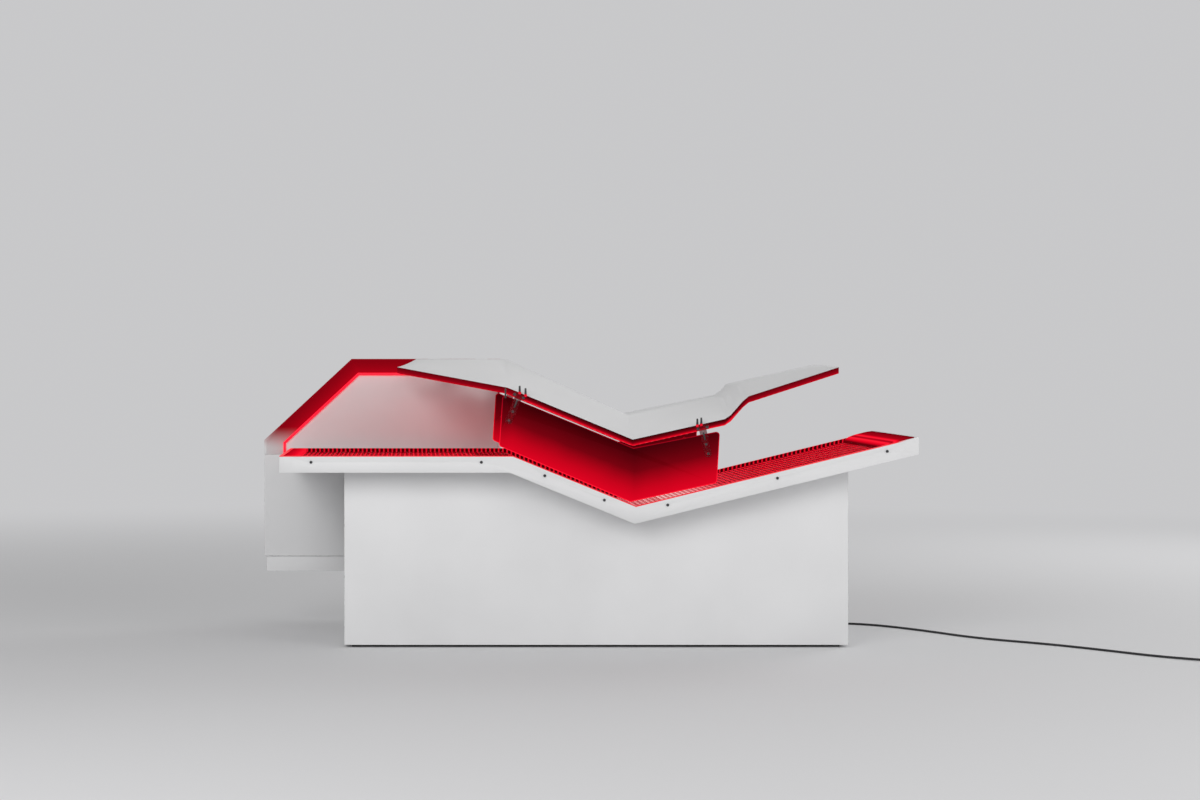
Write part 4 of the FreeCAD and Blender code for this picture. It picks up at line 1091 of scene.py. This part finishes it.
def loose_boxes(node):
    """Lowest and highest corner of each loose solid of a CAD node."""
    cad_copy("measured", node)
    bpy.ops.mesh.separate(type="LOOSE")
    bpy.ops.object.mode_set(mode="OBJECT")
    found = []
    parts = list(bpy.context.selected_objects)
    for part in parts:
        places = [v.co for v in part.data.vertices]
        low = Vector([min(p[k] for p in places) for k in range(3)])
        high = Vector([max(p[k] for p in places) for k in range(3)])
        found.append((low, high))
    for part in parts:
        bpy.data.objects.remove(part)
    return found


def screw_head(radius, height, socket, sides=24):
    """One head with a key socket, standing on the floor at the origin."""
    bpy.ops.object.select_all(action="DESELECT")
    bpy.ops.mesh.primitive_cylinder_add(
        vertices=sides,
        radius=radius,
        depth=height,
        location=(0, 0, height / 2),
    )
    head = bpy.context.object
    bpy.ops.object.transform_apply()
    pick(head, faces_up)
    bpy.ops.mesh.inset(thickness=rim_share * radius)
    bpy.ops.mesh.inset(thickness=(1.0 - rim_share) * radius - socket)
    bpy.ops.mesh.extrude_region_move(TRANSFORM_OT_translate={"value": (0, 0, -socket_share * height)})
    bpy.ops.object.mode_set(mode="OBJECT")
    bevel(head, rim_share * height, angle=50.0)
    return head


def joined(name, parts, made):
    """The parts as one piece in one finish."""
    only(parts[0])
    for part in parts:
        part.select_set(True)
    bpy.ops.object.transform_apply()
    bpy.ops.object.join()
    piece = bpy.context.object
    piece.name = name
    piece.data.materials.clear()
    piece.data.materials.append(made)
    return piece


def set_heads(name, head, spots, made):
    """Copies of one head at each (place, outward direction), joined to one piece."""
    copies = []
    for place, outward in spots:
        copy = bpy.data.objects.new(name, head.data.copy())
        scene.collection.objects.link(copy)
        copy.rotation_mode = "QUATERNION"
        copy.rotation_quaternion = Vector(outward).to_track_quat("Z", "Y")
        copy.location = place
        copies.append(copy)
    bpy.data.objects.remove(head)
    return joined(name, copies, made)


# %% Screws of the rails and panels
rail_face = 0.400
# Each head is a radius, a height and the half width of its socket.
small_head = (0.005, 0.0025, 0.0022)
panel_head = (0.006, 0.003, 0.0025)

dark_steel = coat(
    "dark_steel",
    dark=(0.035, 0.035, 0.038),
    light=(0.09, 0.09, 0.095),
    scale=300.0,
    rough=(0.25, 0.45),
    metallic=0.9,
)

rail_spots = []
for low, high in loose_boxes("rail_screws"):
    middle = (low + high) / 2
    side = math.copysign(1.0, middle.y)
    rail_spots.append(((middle.x, side * rail_face, middle.z), (0, side, 0)))
heads = set_heads("rail_heads", screw_head(*small_head), rail_spots, dark_steel)
mount(heads, "bed", "rail_screws")

panel_spots = []
for low, high in loose_boxes("panel_screws"):
    middle = (low + high) / 2
    side = math.copysign(1.0, middle.x)
    face = low.x if side > 0 else high.x
    panel_spots.append(((face, middle.y, middle.z), (side, 0, 0)))
heads = set_heads("panel_heads", screw_head(*panel_head), panel_spots, dark_steel)
mount(heads, "bed", "panel_screws")
print("rail screws", len(rail_spots), "panel screws", len(panel_spots))

# %% [markdown]
# ## Shield brackets
# Each shield hangs from the canopy's lip by two clear straps with a slot. Clear plastic in red light shows
# mostly its outline, so the flat is see-through and the bevelled edges get painted red light. Two bolts go
# through strap and shield, and two screws hold the strap's block on the lip.

# %% Shield brackets
strap_face = 0.346
shield_face = 0.336
block_face = 0.350
through_bolt = 0.006
strap_head = (0.005, 0.004, 0.0022)
strap_nut = (0.005, 0.004, 0.003)

clear_strap = new_finish("clear_strap", (0.14, 0.002, 0.006), 0.15, specular=0.15)
feed(clear_strap, spread(clear_strap, noise(clear_strap, 60.0), 0.5, 0.62), "Alpha")
feed(clear_strap, spread(clear_strap, noise(clear_strap, 200.0), 0.1, 0.25), "Roughness")
# Painted light on the straps' bevelled edges: red emission in noisy patches.
strap_edge_painted_light = lamp_or_painted_light(
    "strap_edge_painted_light",
    (0.1, 0.001, 0.004),
    lambda made: noise(made, 60.0),
    (noise_low, lamp_red),
    (noise_high, hot_red),
)
softened("shield_straps", "shield_brackets", 0.0009, clear_strap, strap_edge_painted_light, angle=50.0)

bolt_spots = []
nut_spots = []
for low, high in loose_boxes("shield_bolts"):
    middle = (low + high) / 2
    side = math.copysign(1.0, middle.y)
    if high.y - low.y > through_bolt:
        bolt_spots.append(((middle.x, side * strap_face, middle.z), (0, side, 0)))
        nut_spots.append(((middle.x, side * shield_face, middle.z), (0, -side, 0)))
    else:
        bolt_spots.append(((middle.x, side * block_face, middle.z), (0, side, 0)))
heads = set_heads("strap_heads", screw_head(*strap_head), bolt_spots, dark_steel)
mount(heads, "canopy", "shield_bolts")
nuts = set_heads("strap_nuts", screw_head(*strap_nut, sides=hexagon), nut_spots, dark_steel)
mount(nuts, "canopy", slot=slot_of["shield_bolts"])
print("strap bolts", len(bolt_spots), "nuts", len(nut_spots))

# %% [markdown]
# ## Clips on the brackets
# Two small dark levers stand on lit knuckles at the top of each strap, a dark strip fills its slot, and a
# latch on a peg holds the foot-side corner of each shield. Each is a cube or cylinder drawn to size, tapered
# by scaling its top face, and rounded by a bevel.

# %% Clip helpers
strap_rise = 0.8 * lip_height
# Each strap: the place of its top, the two ends of its stretch of the lip, and where its levers stand.
strap_tops = [
    (-0.270, -0.312, 0.122, (-0.002, 0.020)),
    (0.360, 0.122, 0.441, (-0.015, -0.001)),
]


def strap_point(top_x, slope, down, level):
    """A point down the strap from its top and sideways along the lip."""
    x = top_x + down * math.sin(slope) + level * math.cos(slope)
    z = lip_at(top_x) + strap_rise - down * math.cos(slope) + level * math.sin(slope)
    return x, z


def rounded(piece, edge):
    only(piece)
    bpy.ops.object.transform_apply()
    bevel(piece, edge)
    return piece


def small_bar(size, place, turn, taper, edge):
    """A bar that narrows to its top, with rounded edges."""
    bpy.ops.object.select_all(action="DESELECT")
    bpy.ops.mesh.primitive_cube_add(size=1.0, location=place, rotation=(0, turn, 0))
    piece = bpy.context.object
    piece.scale = size
    bpy.ops.object.transform_apply(location=False, rotation=False, scale=True)
    pick(piece, faces_up)
    bpy.ops.transform.resize(value=(taper, taper, 1.0))
    bpy.ops.object.mode_set(mode="OBJECT")
    return rounded(piece, edge)


def small_rod(radius, length, place, turn, edge, sides=20):
    """A rod with rounded ends; turn is its rotation from upright."""
    bpy.ops.object.select_all(action="DESELECT")
    bpy.ops.mesh.primitive_cylinder_add(
        vertices=sides,
        radius=radius,
        depth=length,
        location=place,
        rotation=turn,
    )
    return rounded(bpy.context.object, edge)


# %% Clips
clip_edge = 0.0012
lever_y = 0.3425
lever_size = (0.0085, 0.005, 0.025)
lever_taper = 0.75
knuckle_radius = 0.0048
knuckle_length = 0.010
knuckle_rise = 0.003
strip_y = 0.3442
strip_down = 0.037
strip_size = (0.0054, 0.0030, 0.029)
strip_edge = 0.0008
latch_x = -0.320
latch_y = 0.3465
latch_rise = 0.011
latch_drop = 0.010
latch_size = (0.0065, 0.005, 0.034)
latch_taper = 0.8
peg_y = 0.3395
peg_radius = 0.003
peg_length = 0.019
peg_edge = 0.0006

clip_black = coat(
    "clip_black",
    dark=(0.015, 0.015, 0.016),
    light=(0.03, 0.03, 0.032),
    scale=180.0,
    rough=(0.32, 0.5),
    grain=(1200.0, 2.0, 0.1, 0.0001),
)
# Painted light on the knuckles: red emission in noisy spots, as red glints.
knuckle_painted_light = lamp_or_painted_light(
    "knuckle_painted_light",
    (0.15, 0.002, 0.006),
    lambda made: noise(made, 90.0),
    (noise_low, mid_red),
    (noise_high, hot_red),
)

levers = []
knuckles = []
strips = []
for side in (-1.0, 1.0):
    for top_x, x1, x2, levels in strap_tops:
        slope = math.atan2(lip_at(x2) - lip_at(x1), x2 - x1)
        along_lip = (0, math.pi / 2 - slope, 0)
        for level in levels:
            x, z = strap_point(top_x, slope, -knuckle_rise, level)
            place = (x, side * lever_y, z)
            knuckles.append(small_rod(knuckle_radius, knuckle_length, place, along_lip, clip_edge))
            place = (x, side * lever_y, z + lever_size[2] / 2)
            levers.append(small_bar(lever_size, place, 0.0, lever_taper, clip_edge))
        x, z = strap_point(top_x, slope, strip_down, 0.0)
        strips.append(small_bar(strip_size, (x, side * strip_y, z), -slope, 1.0, strip_edge))
    z = lip_at(latch_x) + latch_rise
    place = (latch_x, side * peg_y, z)
    levers.append(small_rod(peg_radius, peg_length, place, (math.pi / 2, 0, 0), peg_edge))
    place = (latch_x, side * latch_y, z - latch_drop)
    levers.append(small_bar(latch_size, place, 0.0, latch_taper, clip_edge))
for name, parts, made, like in (
    ("clip_levers", levers, clip_black, "shield_bolts"),
    ("clip_knuckles", knuckles, knuckle_painted_light, "shield_brackets"),
    ("slot_strips", strips, clip_black, "shield_bolts"),
):
    mount(joined(name, parts, made), "canopy", slot=slot_of[like])
    print(name, len(parts))

# %% [markdown]
# ## Black plastic and metal
# The working side at the rear has black moulded plastic, powder-coated steel, bright steel for bolts and
# wires, pale glide plastic, and drawn aluminium with fine lines along its length. Stretching the noise
# along Z turns its grains into the lines that a die leaves on an extruded tube.

# %% Finishes of the working parts
black_moulding = coat(
    "black_moulding",
    dark=(0.018, 0.018, 0.02),
    light=(0.034, 0.034, 0.036),
    scale=40.0,
    rough=(0.38, 0.55),
    grain=(1500.0, 2.0, 0.15, 0.0001),
)
plinth_paint = coat(
    "plinth_paint",
    dark=(0.012, 0.012, 0.013),
    light=(0.04, 0.04, 0.041),
    scale=14.0,
    rough=(0.5, 0.75),
    grain=(300.0, 3.0, 0.2, 0.0003),
)
steel_paint = coat(
    "steel_paint",
    dark=(0.1, 0.102, 0.106),
    light=(0.15, 0.152, 0.156),
    scale=9.0,
    rough=(0.42, 0.6),
    grain=(700.0, 2.0, 0.15, 0.0002),
)
glide_plastic = coat("glide_plastic", (0.44, 0.44, 0.4), (0.54, 0.54, 0.5), 50.0, rough=(0.35, 0.5))
bright_steel = coat(
    "bright_steel",
    dark=(0.45, 0.45, 0.46),
    light=(0.62, 0.62, 0.63),
    scale=120.0,
    rough=(0.22, 0.4),
    metallic=1.0,
)

drawn_metal = new_finish("drawn_metal", (0.6, 0.6, 0.61), 0.35, metallic=0.9)
lines = noise(drawn_metal, 350.0, 3.0, (1.0, 1.0, 0.015))
drawn_base = colours(drawn_metal, lines, (0.35, (0.5, 0.5, 0.51)), (0.65, (0.66, 0.66, 0.67)))
feed(drawn_metal, drawn_base, "Base Color")
feed(drawn_metal, spread(drawn_metal, lines, 0.28, 0.46), "Roughness")
bump(drawn_metal, lines, 0.15, 0.0001)
print("working finishes made")

# %% [markdown]
# ## Lift
# The tower rides on two three-stage columns that a welded mast holds behind the base. Their edges are eased
# as sheet and tube edges are, and hexagon bolts fix the mast's plates to the cabinet. The tower's rear cover
# is held by small screws round its rim.

# %% Lift
lift_pieces = [
    ("mast_weldment", "lift_mast", 0.0015, steel_paint),
    ("carriage_weldment", "lift_carriage", 0.0015, steel_paint),
    ("outer_columns", "lift_outer_tubes", 0.0012, drawn_metal),
    ("middle_column_left", "lift_middle_left", 0.0012, drawn_metal),
    ("middle_column_right", "lift_middle_right", 0.0012, drawn_metal),
    ("inner_columns", "lift_inner_tubes", 0.0012, drawn_metal),
    ("outer_pads", "lift_outer_glides", 0.0003, glide_plastic),
    ("middle_pads_left", "lift_middle_glides_left", 0.0003, glide_plastic),
    ("middle_pads_right", "lift_middle_glides_right", 0.0003, glide_plastic),
    ("plinth", "base_plinth", 0.0015, plinth_paint),
]
for name, node, width, made in lift_pieces:
    piece = softened(name, node, width, made)
    print(name, len(piece.data.polygons), "faces")

# %% Bolts of the mast
plate_out = 0.279
bolt_shift = 0.040
bolt_heights = (0.300, 0.425, 0.550)
mast_bolt = (0.0075, 0.0053, 0.003)

bolt_spots = []
for low, high in loose_boxes("lift_outer_tubes"):
    x = (low.x + high.x) / 2
    for shift in (-bolt_shift, bolt_shift):
        for z in bolt_heights:
            bolt_spots.append(((x + shift, plate_out, z), (0, 1, 0)))
bolts = set_heads("mast_bolts", screw_head(*mast_bolt, sides=hexagon), bolt_spots, bright_steel)
mount(bolts, "bed", slot="fastener_steel")
print("mast bolts", len(bolt_spots))

# %% Screws of the tower's back
cover_out = 0.600
cover_body = frame["nodes"]["tower_rear_cover"]["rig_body"]
cover_screws = [
    (-1.174, 0.284),
    (-0.755, 0.284),
    (-0.336, 0.284),
    (-0.336, 0.634),
    (-0.336, 0.984),
    (-0.600, 0.984),
    (-0.858, 0.984),
    (-1.018, 0.838),
    (-1.174, 0.690),
]
screw_spots = [((x, cover_out, z), (0, 1, 0)) for x, z in cover_screws]
heads = set_heads("cover_heads", screw_head(*small_head), screw_spots, dark_steel)
mount(heads, cover_body, slot="fastener_steel")
print("cover screws", len(screw_spots))

# %% [markdown]
# ## Fans
# Two fans at the rear draw the warm air out of the cabinet. An impeller is a turned hub with seven blades.
# One blade starts as a flat grid, is twisted along its length, thickened and rounded, and is then set round
# the hub. The guards are wire rings on four spokes that end in eyes with a screw.

# %% Fan helpers
blade_inner = 0.026
blade_outer = 0.070
blade_chord = 0.026
blade_thickness = 0.0018
blade_edge = 0.0006
blade_pitch = math.radians(38)
blade_twist = math.radians(-18)
round_sides = 32


def turned(rings, sides=round_sides):
    """A round body that stands at the origin: a disc raised ring by ring, each a rise and a radius."""
    bpy.ops.object.select_all(action="DESELECT")
    radius = rings[0][1]
    bpy.ops.mesh.primitive_circle_add(vertices=sides, radius=radius, fill_type="NGON")
    piece = bpy.context.object
    bpy.ops.object.mode_set(mode="EDIT")
    bpy.ops.mesh.select_all(action="SELECT")
    for rise, wide in rings[1:]:
        bpy.ops.mesh.extrude_region_move(TRANSFORM_OT_translate={"value": (0, 0, rise)})
        bpy.ops.transform.resize(value=(wide / radius, wide / radius, 1.0))
        radius = wide
    bpy.ops.mesh.select_all(action="SELECT")
    bpy.ops.mesh.normals_make_consistent(inside=False)
    bpy.ops.object.mode_set(mode="OBJECT")
    bpy.ops.object.shade_smooth_by_angle(angle=math.radians(35))
    return piece


def lay_along_y(piece, x, y, z):
    """Turns an upright piece so that its axis points to the rear, with its foot at the place."""
    only(piece)
    piece.rotation_euler = (-math.pi / 2, 0, 0)
    piece.location = (x, y, z)
    bpy.ops.object.transform_apply()
    return piece


def fan_blade():
    """One twisted blade that reaches along X from the hub, with the hub's axis upright."""
    bpy.ops.object.select_all(action="DESELECT")
    bpy.ops.mesh.primitive_grid_add(x_subdivisions=8, y_subdivisions=4, size=1.0)
    piece = bpy.context.object
    piece.scale = (blade_outer - blade_inner, blade_chord, 1.0)
    bpy.ops.object.transform_apply()
    twist = piece.modifiers.new("twist", "SIMPLE_DEFORM")
    twist.deform_method = "TWIST"
    twist.deform_axis = "X"
    twist.angle = blade_twist
    bpy.ops.object.modifier_apply(modifier="twist")
    thick = piece.modifiers.new("thick", "SOLIDIFY")
    thick.thickness = blade_thickness
    thick.offset = 0.0
    bpy.ops.object.modifier_apply(modifier="thick")
    piece.rotation_euler = (blade_pitch, 0, 0)
    piece.location = ((blade_inner + blade_outer) / 2, 0, 0)
    return rounded(piece, blade_edge)


def copies_round(piece, count):
    """The piece and its copies set round the upright axis."""
    made = [piece]
    for n in range(1, count):
        copy = bpy.data.objects.new(piece.name, piece.data.copy())
        scene.collection.objects.link(copy)
        copy.rotation_euler = (0, 0, math.tau * n / count)
        only(copy)
        bpy.ops.object.transform_apply()
        made.append(copy)
    return made


# %% Impellers
fan_x = {"left": 0.260, "right": 0.540}
fan_z = 0.250
hub_back = 0.218
shaft_back = 0.205
blade_y = 0.233
blade_count = 7
hub_rings = [
    (0, 0.0285),
    (0.0015, 0.030),
    (0.0255, 0.030),
    (0.002, 0.0285),
    (0.001, 0.026),
    (-0.0012, 0.0245),
    (0, 0.012),
]
shaft_rings = [(0, 0.0034), (0.0006, 0.004), (hub_back - shaft_back, 0.004)]

softened("fan_frames", "fan_housings", 0.0008, black_moulding)
for side, x in fan_x.items():
    parts = [
        lay_along_y(turned(hub_rings), x, hub_back, fan_z),
        lay_along_y(turned(shaft_rings, sides=16), x, shaft_back, fan_z),
    ]
    for blade in copies_round(fan_blade(), blade_count):
        parts.append(lay_along_y(blade, x, blade_y, fan_z))
    node = "fan_rotor_" + side
    rotor = joined("impeller_" + side, parts, black_moulding)
    mount(rotor, frame["nodes"][node]["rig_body"], node)
    print("impeller", side, len(rotor.data.polygons), "faces")

# %% Fan guards
wire_y = 0.2725
wire_radius = 0.0015
wire_edge = 0.0004
ring_radii = (0.020, 0.038, 0.056, 0.074)
ring_segments = 56
eye_segments = 20
wire_sides = 8
spoke_inner = 0.019
spoke_outer = 0.088
eye_radius = 0.0042
guard_face = 0.271
guard_head = (0.0036, 0.0032, 0.0014)


def wire_ring(x, z, radius, segments):
    """One ring of guard wire, with its axis to the rear."""
    bpy.ops.object.select_all(action="DESELECT")
    bpy.ops.mesh.primitive_torus_add(
        location=(x, wire_y, z),
        rotation=(math.pi / 2, 0, 0),
        major_radius=radius,
        minor_radius=wire_radius,
        major_segments=segments,
        minor_segments=wire_sides,
    )
    return bpy.context.object


wires = []
eye_spots = []
for x in fan_x.values():
    for radius in ring_radii:
        wires.append(wire_ring(x, fan_z, radius, ring_segments))
    for n in range(4):
        angle = math.pi / 4 + n * math.pi / 2
        cos, sin = math.cos(angle), math.sin(angle)
        middle = (spoke_inner + spoke_outer) / 2
        place = (x + middle * cos, wire_y, fan_z + middle * sin)
        turn = (0, math.pi / 2 - angle, 0)
        wires.append(small_rod(wire_radius, spoke_outer - spoke_inner, place, turn, wire_edge, sides=10))
        eye = spoke_outer + eye_radius
        wires.append(wire_ring(x + eye * cos, fan_z + eye * sin, eye_radius, eye_segments))
        eye_spots.append(((x + eye * cos, guard_face, fan_z + eye * sin), (0, 1, 0)))
guards = joined("wire_guards", wires, bright_steel)
bpy.ops.object.shade_smooth()
mount(guards, "bed", "fan_guards")
eye_screws = set_heads("guard_screws", screw_head(*guard_head), eye_spots, dark_steel)
mount(eye_screws, "bed", slot="fastener_steel")
print("guard wires", len(wires), "screws", len(eye_spots))

# %% [markdown]
# ## Switch and cable gland
# The rocker switch is snapped into the rear board. Beside it the cord comes out of a gland: a hexagon nut,
# and a soft sleeve with grooves that bends with the cord. Both are turned ring by ring like the fan's hub.

# %% Switch
rocker_gloss = coat("rocker_gloss", (0.025, 0.025, 0.027), (0.04, 0.04, 0.042), 90.0, rough=(0.2, 0.34))
softened("switch_case", "mains_switch_body", 0.0006, black_moulding)
rocker = softened("switch_lever", "mains_rocker", 0.0006, rocker_gloss)
print("rocker", len(rocker.data.polygons), "faces")

# %% Cable gland
gland_x = 0.780
gland_z = 0.090
gland_face = 0.271
sleeve_start = 0.008
thread_y = 0.245
locknut_y = 0.247
nut_rings = [(0, 0.0128), (0.0008, 0.0141), (0.0064, 0.0141), (0.0008, 0.0128)]
locknut_rings = [(0, 0.0120), (0.0006, 0.0131), (0.0048, 0.0131), (0.0006, 0.0120)]
thread_rings = [(0, 0.009), (0.001, 0.010), (0.025, 0.010)]
sleeve_rings = [(0, 0.0108), (0.0012, 0.0111), (0.0052, 0.0103)]
for wide in (0.0094, 0.0084, 0.0074):
    sleeve_rings += [(0.0006, wide - 0.0007), (0.0014, wide - 0.0008)]
    sleeve_rings += [(0.0006, wide), (0.0032, wide - 0.0006)]
sleeve_rings += [(0.0018, 0.0061)]

gland_parts = []
for rings, y, sides in (
    (nut_rings, gland_face, hexagon),
    (sleeve_rings, gland_face + sleeve_start, round_sides),
    (thread_rings, thread_y, round_sides),
    (locknut_rings, locknut_y, hexagon),
):
    gland_parts.append(lay_along_y(turned(rings, sides), gland_x, y, gland_z))
gland = joined("cord_gland", gland_parts, black_moulding)
mount(gland, "bed", "cable_gland")
print("gland", len(gland.data.polygons), "faces")

# %% [markdown]
# ## Inside
# The boards, heat sinks, supplies and frames inside keep their CAD shapes, which are right, and only get a
# finish: drawn aluminium, painted steel, a dark red-lit board with its rows of lamps, and zinc-coated cases.

# %% Inside
board_glow = lamp_or_painted_light(
    "board_glow",
    (0.03, 0.004, 0.004),
    lamp_dots,
    (0.0, (0.02, 0.0003, 0.001)),
    (0.7, mid_red),
    (1.0, hot_red),
)
zinc_case = new_finish("zinc_case", (0.5, 0.5, 0.51), 0.4, metallic=0.8)
flakes = noise(zinc_case, 70.0, 1.0)
zinc_base = colours(zinc_case, flakes, (0.35, (0.4, 0.4, 0.41)), (0.65, (0.58, 0.58, 0.59)))
feed(zinc_case, zinc_base, "Base Color")
feed(zinc_case, spread(zinc_case, flakes, 0.3, 0.5), "Roughness")

inside = {
    "deck_heat_sinks": drawn_metal,
    "canopy_spines": drawn_metal,
    "base_floor": board_paint,
    "base_frame": steel_paint,
    "control_box": zinc_case,
    "led_power_supplies": zinc_case,
}
for part in ("foot", "thigh", "back"):
    inside["deck_led_board_" + part] = board_glow
for part in ("foot", "thigh", "chest", "head"):
    inside["canopy_led_panel_" + part] = board_glow
for node, made in inside.items():
    for slot in frame["nodes"][node].material_slots:
        slot.material = made
print("nodes dressed inside", len(inside))

# %% Sizes
low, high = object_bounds()
print("visual box", [round(v, 3) for v in low], [round(v, 3) for v in high])
